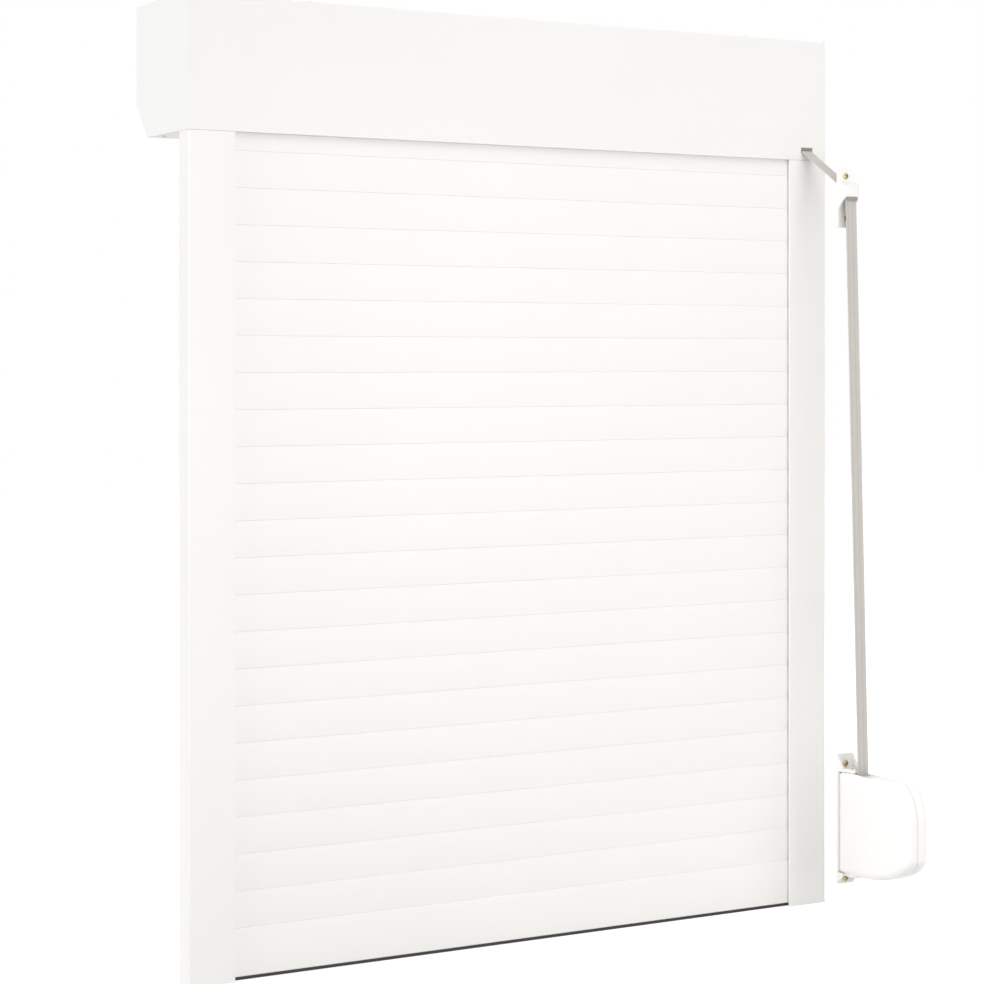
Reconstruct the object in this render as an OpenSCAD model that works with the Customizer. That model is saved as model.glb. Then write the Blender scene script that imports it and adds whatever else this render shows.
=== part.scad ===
// Exterior roller shutter with strap drive, seen from the window side.
// X runs along the box, Y points outdoors from the window-side face, Z is up.
// Z = 0 is the lower edge of the box, where the two guide rails begin.

/* [Box] */
// Overall width across the end caps
shutter_w = 800; // [600:10:1200]
// Side of the square box section
box_s = 139.4; // [130:0.2:165]
// Depth of the outdoor lower chamfer
cham_y = 29; // [15:1:40]
// Height of the outdoor lower chamfer
cham_z = 36; // [20:1:50]
// Sheet thickness of the box panels
skin = 1.4; // [0.8:0.1:2]
// Thickness of the end cap flange that shows at each end
cap_t = 4.5; // [3:0.5:7]
// How far the end caps stand proud of the sheet at the top and outdoors
cap_lip = 0.8; // [0.2:0.1:2]
// Depth of the rim that plugs into the box
cap_plug = 9; // [6:1:14]
// Wall of that rim
cap_rim = 2.4; // [1.5:0.1:4]
// Depth of the downturned edge of the top panel outdoors
drip_h = 12; // [8:1:20]

/* [Rails] */
// Length of the guide rails below the box
drop_h = 863; // [600:1:1300]
// Face width of a rail
rail_w = 51; // [48:1:70]
// Depth of a rail
rail_d = 25; // [20:0.5:30]
// Wall of the rail profile
rail_wall = 1.8; // [1.2:0.1:2.4]
// How far the slats reach into each rail
slat_grip = 14; // [10:1:18]
// Free space beyond the slat ends in the channel
end_gap = 5; // [3:0.5:8]
// Free space on each side of the slats in the channel
chan_gap = 1.7; // [1.6:0.1:3]
// Thickness of the channel's lip on the window side
lip_t = 3.2; // [3.2:0.1:5]
// Width of the seal strip in the channel mouth
seal_w = 2.2; // [1.5:0.1:3]
// Width of the seal strip's foot
seal_foot = 4.8; // [4:0.1:6]
// Thickness of that foot
seal_foot_t = 1.4; // [1:0.1:1.6]

/* [Curtain] */
// Number of slats
slat_n = 22; // [16:1:22]
// Thickness of a slat
slat_t = 8.4; // [7:0.1:9.5]
// Height of the bottom slat with its rubber seal
end_h = 52.7; // [40:0.1:70]
// Height of the rubber seal below the bottom slat
seal_h = 3.4; // [3:0.1:8]
// How far the top slat stands up into the box
slat_rise = 18.9; // [12:0.1:22]
// Crown of a slat's face
crown = 0.6; // [0.2:0.1:1]
// Wall of the hollow slats
slat_wall = 1; // [0.8:0.1:1.4]
// Gap that shows between two slats
slat_gap = 0.8; // [0.4:0.1:1.4]
// Radius of the bead that links two slats
bead_r = 2; // [1.5:0.1:2.2]
// Width of the neck that carries the bead
neck_w = 2; // [1.4:0.1:2.4]
// Clearance round the bead
link_gap = 0.35; // [0.2:0.05:0.5]
// Length of the buffer stops on the bottom slat
stop_len = 16; // [10:1:24]
// Radius of the buffer stops
stop_r = 8; // [6:0.5:10]

/* [Roller] */
// Width across flats of the octagonal tube
tube_af = 40; // [36:1:50]
// Wall of the tube
tube_wall = 1; // [0.6:0.1:1.5]
// Radius of the axle pins
pin_r = 6; // [4:0.5:8]
// Running clearance of the pins in their bearings
run_gap = 0.05; // [0.02:0.01:0.1]
// Outer radius of the bearings
bearing_r = 14; // [12:0.5:18]
// Width of the bearings
bearing_w = 8; // [6:0.5:9]
// Radius of the strap disc
disc_r = 58; // [54:0.5:60]
// Outer radius of the strap wound on the disc
coil_r = 50; // [40:1:52]
// Width of a hanger
hanger_w = 25; // [15:1:40]
// Thickness of a hanger
hanger_t = 0.8; // [0.5:0.1:1.2]

/* [Strap] */
// Width of the strap
strap_w = 15; // [12:0.5:15]
// Thickness of the strap
strap_t = 1.2; // [0.8:0.1:1.6]
// Distance of the strap's middle from the end of the box
strap_in = 26.5; // [25:0.5:32]
// Width of the slot where the strap leaves the box
slot_w = 17; // [16:0.5:20]
// Lower edge of that slot
slot_z0 = 4.9; // [3:0.1:6]
// Upper edge of that slot
slot_z1 = 14.7; // [13:0.1:18]
// Height of the strap at the slot
strap_exit_z = 9.9; // [9:0.1:11]
// Distance from the window-side face back to the inner wall
frame_depth = 69.5; // [50:0.5:100]

/* [Strap guide] */
// Height of the strap's bend in the guide, below the box
bend_drop = 40; // [36:1:80]
// Distance of the strap's bend from the wall
bend_out = 11.5; // [11:0.1:16]
// Radius of the guide roller
roller_r = 5; // [4:0.2:6]
// Width of the guide
guide_w = 22; // [20:0.5:26]
// Side walls of the guide's hood
hood_wall = 2; // [1.4:0.1:2.2]
// Thickness of the wall plates
plate_t = 2.5; // [2:0.1:3.5]
// Radius of the screw heads
screw_r = 3.5; // [3:0.1:4]
// Radius of the screw threads
thread_r = 2; // [1.5:0.1:2.2]
// Depth of the guide's screws in the wall
guide_screw_len = 6.5; // [5:0.5:7]
// Depth of the winder's screws in the wall
winder_screw_len = 12; // [8:1:30]

/* [Winder] */
// Height of the winder's top above the bottom of the rails
winder_up = 165.6; // [140:0.1:400]
// Height of the winder case
case_h = 113.5; // [112:0.5:135]
// Depth of the winder case
case_d = 120.2; // [118:0.2:140]
// Thickness of the winder case
case_w = 34.8; // [30:0.2:36]
// Wall of the winder case
case_wall = 2.2; // [1.6:0.1:2.4]
// Rounding of the case's long edges
case_round = 9.4; // [4:0.2:10]
// Depth of the elliptic corner at the top front
top_round_y = 27; // [20:1:50]
// Height of that corner
top_round_z = 49; // [30:1:55]
// Depth of the long elliptic sweep at the bottom front
low_round_y = 85; // [60:1:90]
// Height of that sweep
low_round_z = 34; // [25:1:38]
// Gap between the wall plane and the back of the case
case_back = 8.7; // [8.5:0.1:10]
// Distance of the swivel axis from the wall
swivel_out = 21; // [21:0.5:24]
// Radius of the swivel pins
swivel_r = 3; // [2:0.25:4]
// Width of the winder's wall bracket
bracket_w = 24; // [20:1:34]
// Length of the bracket's upper ear beyond the case
ear_h = 19; // [16:0.5:22]
// Length of the lower ear
foot_h = 14; // [13.5:0.5:22]
// Height of the bracket's two cheeks beside the back of the case
cheek = 2; // [1:0.1:2]
// Radius of the spool flanges
spool_r = 48; // [40:1:50]
// Radius of the spool's drum
drum_r = 24; // [22:0.5:27]
// Outer radius of the strap on the spool
wound_r = 30; // [28:0.5:40]
// Turns of the spiral spring
spring_turns = 7; // [4:1:9]
// Thickness of the spring strip
spring_t = 0.5; // [0.3:0.1:0.8]

/* [Hidden] */
$fn = 64;
half_w = shutter_w / 2;
sheet_s = box_s - cap_lip;
sheet_half = half_w - cap_t;
axis_y = box_s / 2;
axis_z = box_s / 2;
rail_in = half_w - rail_w;
chan_in = slat_grip + end_gap;
chan_w = slat_t + 2 * chan_gap;
slat_y = lip_t + chan_gap + slat_t / 2;
bed_y = slat_y + chan_w / 2 + seal_foot_t + 2;
slat_half = rail_in + slat_grip;
slat_pitch = (drop_h - end_h + slat_rise) / slat_n;
bead_up = bead_r + 1.2;
strap_x = half_w - strap_in;
disc_in = strap_w / 2 + 1;
disc_t = 1.5;
disc_half = disc_in + disc_t;
disc_gap = 1.5;
boss_len = strap_in - disc_half - cap_t - disc_gap;
tube_x0 = -(half_w - cap_t - boss_len - disc_gap) + 3;
tube_x1 = strap_x - disc_half - 0.2;
tube_in = tube_af - 2 * tube_wall;
wall_y = -frame_depth;
plate_y = wall_y - plate_t;
bend = [wall_y - bend_out, -bend_drop];
exit = [2, strap_exit_z];
case_top = winder_up - drop_h;
case_bot = case_top - case_h;
case_y1 = wall_y - case_back;
case_y0 = case_y1 - case_d;
mouth = [wall_y - swivel_out - 12.8, case_top];
spool_c = [case_y1 - case_d / 2 - 4, case_top - case_h / 2 + 0.75];
swivel_y = wall_y - swivel_out;
sweep_r = norm([case_w / 2 - case_round, case_y1 - case_round - swivel_y]) + case_round + 0.6;
turn_r = roller_r + strap_t / 2 + 0.1;
out_dir = unit(mouth - bend);
leave = bend + out_dir * 13;
roller_c = fillet_centre(exit, bend, leave, turn_r);
lug_t = 3.4;
lug_gap = 0.4;
rib_out = 10;
cover_y = slat_y + slat_t / 2 + 4.8;
peg_w = rail_w - chan_in - 2 * rail_wall - 0.6;
hanger_x = [-slat_half * 0.7, 0, slat_half * 0.7];
hub_r = tube_af / 2 + 4;
bead_z = slat_rise + bead_up;
room_z = bead_up + bead_r + link_gap + slat_wall;
room_h = (slat_pitch - slat_gap / 2 - room_z - 2.4 * slat_wall) / 3 - slat_wall / 3 * 2;
stop_z = -drop_h + end_h - 19;
lip_r = 4;
plug_len = tube_af;
foot_plug = rail_w / 3;
inlet_h = rail_d;
disc_touch = touch(exit, [axis_y, axis_z], coil_r + 0.4 + strap_t / 2, -1);
guide_z = bend[1];
guide_top = guide_z + 26;
guide_bot = guide_z - 41.4;
guide_screw_z = [guide_z + 17.1, guide_z - 31.4];
hood_z = guide_z - 6.4;
hood_low = 14;
pin_d = 3;
pin_half = guide_w / 2 - 0.7;
hood_y = bend[0] - strap_t / 2 - 2.6;
slope = (exit[1] - bend[1]) / (exit[0] - bend[0]);
tail_end = touch(mouth, spool_c, wound_r + 0.4 + strap_t / 2, 1);
bracket_top = case_top + lug_gap + ear_h;
bracket_bot = case_bot - lug_gap - foot_h;
bracket_screw_z = [bracket_top - 11, bracket_bot + 5.5];
pin_in = 9;
spool_half = strap_w / 2 + 0.6 + 1.4;
axle_seat = case_w / 2 - case_wall - spool_half - 0.4;
slat_names = [for (i = [1:slat_n]) str("slat_", i < 10 ? "0" : "", i)];

function unit(v) = v / norm(v);
// Centre of the arc of radius r that rounds the corner a, b, c
function fillet_centre(a, b, c, r) =
  let (u = unit(a - b), w = unit(c - b), h = acos(u * w) / 2)
  b + unit(u + w) * (r / sin(h));
// Points of that arc, in order from a to c
function fillet(a, b, c, r, n = 10) =
  let (
    u = unit(a - b),
    w = unit(c - b),
    h = acos(u * w) / 2,
    m = fillet_centre(a, b, c, r),
    p = b + u * (r / tan(h)) - m,
    q = b + w * (r / tan(h)) - m,
    s = sign(p[0] * q[1] - p[1] * q[0]),
    g = acos(unit(p) * unit(q))
  )
  [for (i = [0:n]) m + rot2(p, s * g * i / n)];
function rot2(v, a) = [v[0] * cos(a) - v[1] * sin(a), v[0] * sin(a) + v[1] * cos(a)];
// Unit normal of a line of points at point i
function side(p, i) =
  let (t = unit(p[min(i + 1, len(p) - 1)] - p[max(i - 1, 0)]))
  [-t[1], t[0]];
// Outline of a band of thickness t along a line of points
function band(p, t) = concat(
  [for (i = [0:len(p) - 1]) p[i] + side(p, i) * t / 2],
  [for (i = [len(p) - 1:-1:0]) p[i] - side(p, i) * t / 2]
);
// Point where a line from p touches the circle of radius r round c, on side s
function touch(p, c, r, s) =
  let (v = c - p, a = atan2(v[1], v[0]) + s * asin(r / norm(v)), l = sqrt(v * v - r * r))
  p + l * [cos(a), sin(a)];
// Box section drawn in by d, with its chamfer kept parallel
function box_outline(s, d) =
  let (
    l = norm([cham_y, cham_z]),
    qy = s - cham_y - d * cham_z / l,
    qz = d * cham_y / l
  )
  [
    [d, d],
    [qy + (d - qz) * cham_y / cham_z, d],
    [s - d, qz + (s - d - qy) * cham_z / cham_y],
    [s - d, s - d],
    [d, s - d]
  ];

// Extrudes a drawing in Y and Z from x0 to x1
module along_x(x0, x1) {
  translate([x0, 0, 0]) rotate([90, 0, 90]) linear_extrude(x1 - x0) children();
}
module span(y0, z0, y1, z1) {
  translate([y0, z0]) square([y1 - y0, z1 - z0]);
}
module bar_x(y, z, r, x0, x1) {
  translate([x0, y, z]) rotate([0, 90, 0]) cylinder(r = r, h = x1 - x0);
}
module octagon(af) {
  rotate(22.5) circle(d = af / cos(22.5), $fn = 8);
}
module rounded(w, h, r) {
  translate([r, 0]) square([w - 2 * r, h]);
  translate([0, r]) square([w, h - 2 * r]);
  for (x = [r, w - r], y = [r, h - r]) translate([x, y]) circle(r);
}
module both_ends() {
  children();
  mirror([1, 0, 0]) children();
}

// Box panels
module sheet_ring() {
  difference() {
    polygon(box_outline(sheet_s, 0));
    polygon(box_outline(sheet_s, skin));
  }
}
module box_shell() {
  color("white") {
    difference() {
      along_x(-sheet_half, sheet_half) {
        intersection() {
          sheet_ring();
          union() {
            span(0, 0, skin, sheet_s);
            span(0, sheet_s - drip_h, sheet_s, sheet_s);
          }
        }
      }
      translate([strap_x - slot_w / 2, -1, slot_z0])
        cube([slot_w, skin + 2, slot_z1 - slot_z0]);
    }
    along_x(-rail_in + 1, rail_in - 1) span(skin, 0, slat_y - slat_t / 2 - 1.6, skin);
  }
}
module box_cover() {
  tongue_half = sheet_half - cap_plug - 0.3;
  color("white") {
    difference() {
      union() {
        along_x(-sheet_half, sheet_half) intersection() {
          sheet_ring();
          span(cover_y, -1, sheet_s + 1, sheet_s - drip_h - 0.4);
        }
        along_x(-rail_in - 7, rail_in + 7) span(cover_y, 0, cover_y + skin, 9);
        along_x(-tongue_half, tongue_half) {
          span(sheet_s - 2 * skin - 0.2, sheet_s - drip_h - 4, sheet_s - skin, sheet_s - drip_h - 0.4);
          span(sheet_s - 2 * skin - 0.2, sheet_s - drip_h - 4, sheet_s - skin - 0.2, sheet_s - skin - 0.4);
        }
      }
      screw_places() cylinder(r = 1.55, h = 20, center = true);
    }
  }
}
// Places of the screws that hold the cover to the end caps
module screw_places() {
  both_ends()
    for (y = [cover_y + 20, axis_y + 18])
      translate([sheet_half - cap_plug / 2, y, 0]) children();
}
module cover_screws() {
  color("silver") screw_places() {
    translate([0, 0, -1.6]) cylinder(r1 = 2, r2 = 3, h = 1.6);
    cylinder(r = 1.5, h = 7);
  }
}

// End caps, with a rim in the box, a bearing seat and a peg for the rail
module end_cap() {
  color("whitesmoke") difference() {
    union() {
      along_x(sheet_half, half_w) polygon(box_outline(box_s, 0));
      along_x(sheet_half - cap_plug, sheet_half) difference() {
        polygon(box_outline(sheet_s, skin + 0.15));
        polygon(box_outline(sheet_s, skin + 0.15 + cap_rim));
      }
      bar_x(axis_y, axis_z, bearing_r + 4, sheet_half - boss_len, sheet_half);
      for (a = [0:60:300])
        translate([sheet_half - 4, axis_y, axis_z])
          rotate([a, 0, 0])
            translate([0, -0.9, bearing_r + 2])
              cube([4, 1.8, axis_z - bearing_r - 2 - cap_lip - skin - cap_rim / 2]);
      translate([half_w - rail_w + chan_in + rail_wall + 0.3, rail_wall + 0.3, -30])
        cube([peg_w, rail_d - 2 * rail_wall - 0.6, 30]);
      translate([half_w - rail_w + chan_in + rail_wall + 0.3, skin + 0.3, 0])
        cube([peg_w + rail_wall + 0.3, rail_d - skin - 0.3 - (rail_d - cover_y) - 0.4, 2.4]);
    }
    bar_x(axis_y, axis_z, bearing_r + 0.03, sheet_half - boss_len - 1, sheet_half - 1);
    translate([half_w - rail_w + chan_in + rail_wall + 2.3, rail_wall + 2.3, -31])
      cube([peg_w - 4, rail_d - 2 * rail_wall - 4.6, 31]);
    screw_places() cylinder(r = 1.55, h = 20, center = true);
  }
}
module end_cap_right() {
  end_cap();
}
module end_cap_left() {
  mirror([1, 0, 0]) end_cap();
}

// Bearings, roller tube and strap disc
module bearings() {
  color("silver") both_ends()
    translate([sheet_half - boss_len, axis_y, axis_z]) rotate([0, 90, 0])
      rotate_extrude() difference() {
        translate([pin_r + run_gap, boss_len - 1 - bearing_w])
          square([bearing_r - pin_r - run_gap, bearing_w]);
        for (z = [boss_len - 1 - bearing_w, boss_len - 1])
          translate([(pin_r + bearing_r) / 2, z]) square([bearing_r - pin_r - 4, 1.2], center = true);
      }
}
module tube() {
  color("gainsboro") difference() {
    along_x(tube_x0, tube_x1) translate([axis_y, axis_z]) difference() {
      octagon(tube_af);
      octagon(tube_in);
    }
    for (x = hanger_x)
      translate([x - hanger_w / 2 - 0.5, axis_y - tube_af / 2 - 1, axis_z - 2])
        cube([hanger_w + 1, tube_wall + 2, 4]);
  }
}
module tube_plug() {
  color("dimgray") difference() {
    union() {
      bar_x(axis_y, axis_z, tube_af / 2 + 1, tube_x0 - 3, tube_x0);
      along_x(tube_x0, tube_x0 + plug_len) translate([axis_y, axis_z]) octagon(tube_in - 0.2);
    }
    bar_x(axis_y, axis_z, pin_r + 0.02, tube_x0 - 4, tube_x0 + plug_len + 1);
  }
}
module axle_pins() {
  color("silver") {
    bar_x(axis_y, axis_z, pin_r, -sheet_half + 2.5, tube_x0 + plug_len - 2);
    bar_x(axis_y, axis_z, pin_r, tube_x1 - plug_len + 2, sheet_half - 2.5);
  }
}
module strap_disc() {
  color("dimgray") difference() {
    union() {
      for (s = [-1, 1])
        bar_x(axis_y, axis_z, disc_r, strap_x + s * (disc_in + disc_t / 2) - disc_t / 2,
          strap_x + s * (disc_in + disc_t / 2) + disc_t / 2);
      bar_x(axis_y, axis_z, hub_r, strap_x - disc_in, strap_x + disc_in);
      along_x(tube_x1 - plug_len, strap_x - disc_in) translate([axis_y, axis_z]) octagon(tube_in - 0.2);
    }
    bar_x(axis_y, axis_z, pin_r + 0.02, tube_x1 - plug_len - 1, sheet_half);
    for (a = [0:60:300])
      translate([strap_x, axis_y, axis_z]) rotate([a + 30, 0, 0])
        translate([0, 0, (hub_r + disc_r) / 2])
          rotate([0, 90, 0]) cylinder(r = 8, h = 40, center = true);
  }
}
module disc_strap() {
  color("rosybrown") difference() {
    bar_x(axis_y, axis_z, coil_r, strap_x - strap_w / 2, strap_x + strap_w / 2);
    bar_x(axis_y, axis_z, hub_r + 0.1, strap_x - strap_w, strap_x + strap_w);
  }
}
// Hangers from the tube's window-side flat to the bead of the top slat
module hangers() {
  clip_r = bead_r + link_gap;
  top = [axis_y - tube_af / 2 + tube_wall + 1.2, axis_z];
  knee = [axis_y - tube_af / 2 - 1.6, axis_z];
  foot = [slat_y + 2, bead_z + clip_r + 6];
  end = [slat_y, bead_z + clip_r + hanger_t / 2];
  line = concat([top], fillet(top, knee, foot, 2, 6), fillet(knee, foot, end, 4, 6), [end]);
  color("slategray") for (x = hanger_x) along_x(x - hanger_w / 2, x + hanger_w / 2) {
    polygon(band(line, hanger_t));
    translate([slat_y, bead_z]) difference() {
      circle(clip_r + hanger_t);
      circle(clip_r);
      translate([-neck_w / 2 - link_gap, -20]) square([neck_w + 2 * link_gap, 20]);
    }
  }
}

// Guide rails
module rail_section() {
  difference() {
    rounded(rail_w, rail_d, 1);
    translate([rail_wall, rail_wall])
      square([rail_w - chan_in - 2 * rail_wall, rail_d - 2 * rail_wall]);
    translate([rail_w - chan_in, slat_y - chan_w / 2]) square([chan_in + 1, chan_w]);
    if (rail_d - rail_wall > bed_y + 1)
      translate([rail_w - chan_in, bed_y]) square([chan_in - rail_wall, rail_d - rail_wall - bed_y]);
    for (m = [0, 1]) translate([rail_w - 5, slat_y]) mirror([0, m]) seal_shape(0.1, 0);
  }
}
// Section of a seal strip: pile towards the slat, foot in the lip of the rail
module seal_shape(g, pile) {
  foot_y = chan_w / 2 + 1;
  translate([-seal_foot / 2 - g, foot_y - g]) square([seal_foot + 2 * g, seal_foot_t + 2 * g]);
  translate([-seal_w / 2 - g, chan_w / 2 - pile]) square([seal_w + 2 * g, 1 + pile]);
}
module rail_left() {
  color("white") translate([-half_w, 0, -drop_h]) linear_extrude(drop_h) rail_section();
}
module rail_right() {
  mirror([1, 0, 0]) rail_left();
}
module rail_seals() {
  color("gray") both_ends() translate([-half_w + rail_w - 5, slat_y, -drop_h])
    for (m = [0, 1]) mirror([0, m]) linear_extrude(drop_h) seal_shape(0, chan_gap - 0.35);
}
// Flared inlets that lead the slats from the box into the rails
module rail_inlets() {
  y0 = slat_y - slat_t / 2 - 0.5;
  y1 = slat_y + slat_t / 2 + 0.5;
  lip = chan_gap - 0.6;
  color("whitesmoke") both_ends() {
    along_x(rail_in + 7.8, rail_in + chan_in - 0.6) {
      span(y0 - lip, -inlet_h, y0, 0);
      span(y1, -inlet_h, y1 + lip, 0);
    }
    along_x(rail_in + 7.8, strap_x - slot_w / 2 - 3) {
      polygon([
        [y0 - lip, 0], [y0, 0], [y0 - 0.8, 12],
        [skin + 1.3, 22], [skin + 0.3, 22], [skin + 0.3, 8]
      ]);
      polygon([
        [y1, 0], [y1 + 3.4, 0], [y1 + 5, 10],
        [y1 + 10, 22], [y1 + 8.5, 22], [y1 + 1.2, 10]
      ]);
    }
    along_x(rail_in + chan_in - 2.2, rail_in + chan_in - 0.6) {
      span(y0 - lip, -inlet_h, y1 + lip, 0);
    }
  }
}
module rail_plugs() {
  color("dimgray") both_ends() {
    translate([-half_w + rail_wall + 0.2, rail_wall + 0.2, -drop_h + 0.3])
      cube([rail_w - chan_in - 2 * rail_wall - 0.4, rail_d - 2 * rail_wall - 0.4, foot_plug]);
  }
}

// Curtain
module bead_up_shape() {
  translate([-neck_w / 2, -1]) square([neck_w, bead_up + 1]);
  translate([0, bead_up]) circle(bead_r);
}
module bead_slot() {
  translate([0, bead_up]) circle(bead_r + link_gap);
  translate([-neck_w / 2 - link_gap, -1]) square([neck_w + 2 * link_gap, bead_up + 1]);
}
module slat_section() {
  face_r = (pow(slat_pitch / 2, 2) + crown * crown) / (2 * crown);
  difference() {
    union() {
      intersection() {
        translate([-slat_t / 2, slat_gap / 2]) square([slat_t, slat_pitch - slat_gap]);
        translate([face_r - slat_t / 2, slat_pitch / 2]) circle(face_r, $fn = 720);
        translate([slat_t / 2 - face_r, slat_pitch / 2]) circle(face_r, $fn = 720);
      }
      translate([0, slat_pitch]) bead_up_shape();
    }
    bead_slot();
    for (i = [0:2]) translate([-slat_t / 2 + slat_wall + crown, room_z + i * (room_h + slat_wall)])
      square([slat_t - 2 * slat_wall - 2 * crown, room_h]);
    for (s = [-1, 1], z = [slat_gap / 2, slat_pitch - slat_gap / 2])
      translate([s * (slat_t / 2 - crown), z]) rotate(45) square(1, center = true);
  }
}
function slat_z(i) = -drop_h + end_h + (i - 1) * slat_pitch;
module slat(i) {
  color("white") along_x(-slat_half, slat_half) translate([slat_y, slat_z(i)]) slat_section();
}
module end_slat() {
  h = end_h - seal_h - slat_gap / 2;
  color("white") along_x(-slat_half, slat_half) translate([slat_y, -drop_h + seal_h]) {
    difference() {
      union() {
        translate([-slat_t / 2, 0]) rounded(slat_t, h, 1);
        translate([0, h + slat_gap / 2]) bead_up_shape();
      }
      seal_foot_shape(0.15);
      span(-slat_t / 2 + 1.4, 9, slat_t / 2 - 1.4, h - 9);
    }
  }
}
// Foot of the rubber seal in the groove of the bottom slat
module seal_foot_shape(g) {
  span(-1.2 - g, -1, 1.2 + g, 2.4);
  span(-2.4 - g, 2 - g, 2.4 + g, 4 + g);
}
module bottom_seal() {
  color("black") along_x(-slat_half, slat_half) translate([slat_y, -drop_h + seal_h]) {
    seal_foot_shape(0);
    difference() {
      translate([-slat_t / 2 + 0.3, -seal_h]) rounded(slat_t - 0.6, seal_h, 1.4);
      translate([0, -seal_h]) circle(1.2);
    }
  }
}
module end_stops() {
  color("dimgray") both_ends()
    translate([slat_half - 60, slat_y + slat_t / 2, stop_z]) rotate([-90, 0, 0])
      cylinder(r1 = stop_r, r2 = stop_r - 2, h = stop_len);
}
module slats() {
  for (i = [1:slat_n]) slat(i);
}

// Strap, from the disc through the slot and the guide to the winder
upper_line = concat(
  [disc_touch],
  fillet(disc_touch, exit, bend, lip_r + strap_t / 2 + 0.1, 6),
  fillet(exit, bend, leave, turn_r, 10),
  [leave]
);
module strap_band(line) {
  along_x(strap_x - strap_w / 2, strap_x + strap_w / 2) polygon(band(line, strap_t));
}
module strap_upper() {
  color("tan") strap_band(upper_line);
}
module strap_lower() {
  color("tan") strap_band([leave, mouth]);
}
module strap_tail() {
  color("tan") strap_band([mouth + unit(tail_end - mouth) * 0.12, tail_end]);
}
// Lining of the slot, with a rounded sill that the strap bends over
module strap_grommet() {
  m = fillet_centre(disc_touch, exit, bend, lip_r + strap_t / 2 + 0.1);
  color("gainsboro") {
    along_x(strap_x - slot_w / 2 + 0.2, strap_x + slot_w / 2 - 0.2) intersection() {
      translate(m) circle(lip_r);
      span(0.2, slot_z0 + 0.2, 20, 20);
    }
    difference() {
      along_x(strap_x - slot_w / 2 - 2.5, strap_x + slot_w / 2 + 2.5)
        span(skin, slot_z0 + 0.2, skin + 1.2, slot_z1 + 3);
      translate([strap_x - slot_w / 2 + 0.2, 0, slot_z0 + 1])
        cube([slot_w - 0.4, 10, slot_z1 - slot_z0 - 1]);
    }
  }
}

// Strap guide on the wall
// Height of the strap's middle line over the sloping run
function run_z(y) = exit[1] + (y - exit[0]) * slope;
// Side view of the hood drawn in by d, with its lower edge let down by e
module hood_side(d, e) {
  polygon([
    [plate_y + 0.01, hood_z - hood_low - e],
    [hood_y + d, hood_z - e],
    [hood_y + d, run_z(hood_y + 4) + 4.6 - d],
    [hood_y + 3.4 + d, run_z(hood_y + 4) + 6.6 - d],
    [plate_y + 0.01, run_z(plate_y) + 6.8 - d]
  ]);
}
// Front view of the guide's plate: well rounded ear above, small corners below
module guide_face() {
  half = guide_w / 2;
  ear_r = guide_w * 0.32;
  foot_r = 2.5;
  translate([-half, guide_bot]) rounded(guide_w, guide_top - ear_r + foot_r - guide_bot, foot_r);
  translate([-half + ear_r, guide_top - 2 * ear_r]) square([guide_w - 2 * ear_r, 2 * ear_r]);
  for (s = [-1, 1]) translate([s * (half - ear_r), guide_top - ear_r]) circle(ear_r);
}
module on_wall(t) {
  translate([strap_x, wall_y, 0]) rotate([90, 0, 0]) linear_extrude(t) children();
}
module guide_plate() {
  color("white") difference() {
    union() {
      on_wall(plate_t) guide_face();
      intersection() {
        along_x(strap_x - guide_w / 2, strap_x + guide_w / 2) hood_side(0, 0);
        translate([strap_x - guide_w / 2, hood_y, guide_bot])
          linear_extrude(guide_top - guide_bot) rounded(guide_w, frame_depth, 4);
      }
    }
    along_x(strap_x - guide_w / 2 + hood_wall, strap_x + guide_w / 2 - hood_wall) {
      hood_side(1.6, 12);
      span(plate_y - 0.1, guide_z - 9, wall_y + 1, run_z(wall_y) + strap_t / 2 + 2.6);
    }
    bar_x(roller_c[0], roller_c[1], pin_d / 2 + run_gap, strap_x - pin_half, strap_x + pin_half);
    for (z = guide_screw_z) translate([strap_x, 0, z]) rotate([90, 0, 0])
      translate([0, 0, frame_depth - 1]) cylinder(r = thread_r + 0.1, h = plate_t + 2);
  }
}
module guide_roller() {
  color("whitesmoke") difference() {
    bar_x(roller_c[0], roller_c[1], roller_r, strap_x - guide_w / 2 + hood_wall + 0.4,
      strap_x + guide_w / 2 - hood_wall - 0.4);
    bar_x(roller_c[0], roller_c[1], pin_d / 2 + run_gap, strap_x - guide_w, strap_x + guide_w);
  }
}
module guide_pin() {
  color("silver") bar_x(roller_c[0], roller_c[1], pin_d / 2, strap_x - pin_half, strap_x + pin_half);
}
// Domed screw whose head sits on a wall plate at height z, with a plain neck in the plate
module wall_screw(z, len) {
  translate([strap_x, plate_y, z]) rotate([90, 0, 0]) {
    rotate_extrude() intersection() {
      translate([0, -screw_r * 0.55]) circle(screw_r * 1.15);
      square([screw_r, 5]);
    }
    translate([0, 0, -plate_t]) cylinder(r = thread_r - 0.2, h = plate_t);
    translate([0, 0, -plate_t - len]) cylinder(r = thread_r, h = len);
  }
}
module guide_screws() {
  color("goldenrod") for (z = guide_screw_z) wall_screw(z, guide_screw_len);
}

// Winder: wall bracket, swivelling case, spool and spring
module bracket_face() {
  translate([-bracket_w / 2, bracket_bot]) rounded(bracket_w, bracket_top - bracket_bot, 2.5);
}
// Lug that carries a swivel pin, as wide as the bracket at its root
module lug_face() {
  reach = swivel_out - plate_t + 0.01;
  translate([-bracket_w / 2, -rib_out]) square([bracket_w, rib_out + plate_t / 2]);
  translate([-8, -reach]) square([16, reach]);
  translate([0, -reach]) circle(8);
}
// Side rib from near the end of an ear of length h down to its lug
module ear_rib(h) {
  polygon([
    [plate_y + plate_t / 2, lug_gap + h - 2], [plate_y, lug_gap + h - 2],
    [plate_y - rib_out, lug_gap + lug_t], [plate_y - rib_out, lug_gap + lug_t / 2],
    [plate_y + plate_t / 2, lug_gap + lug_t / 2]
  ]);
}
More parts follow.
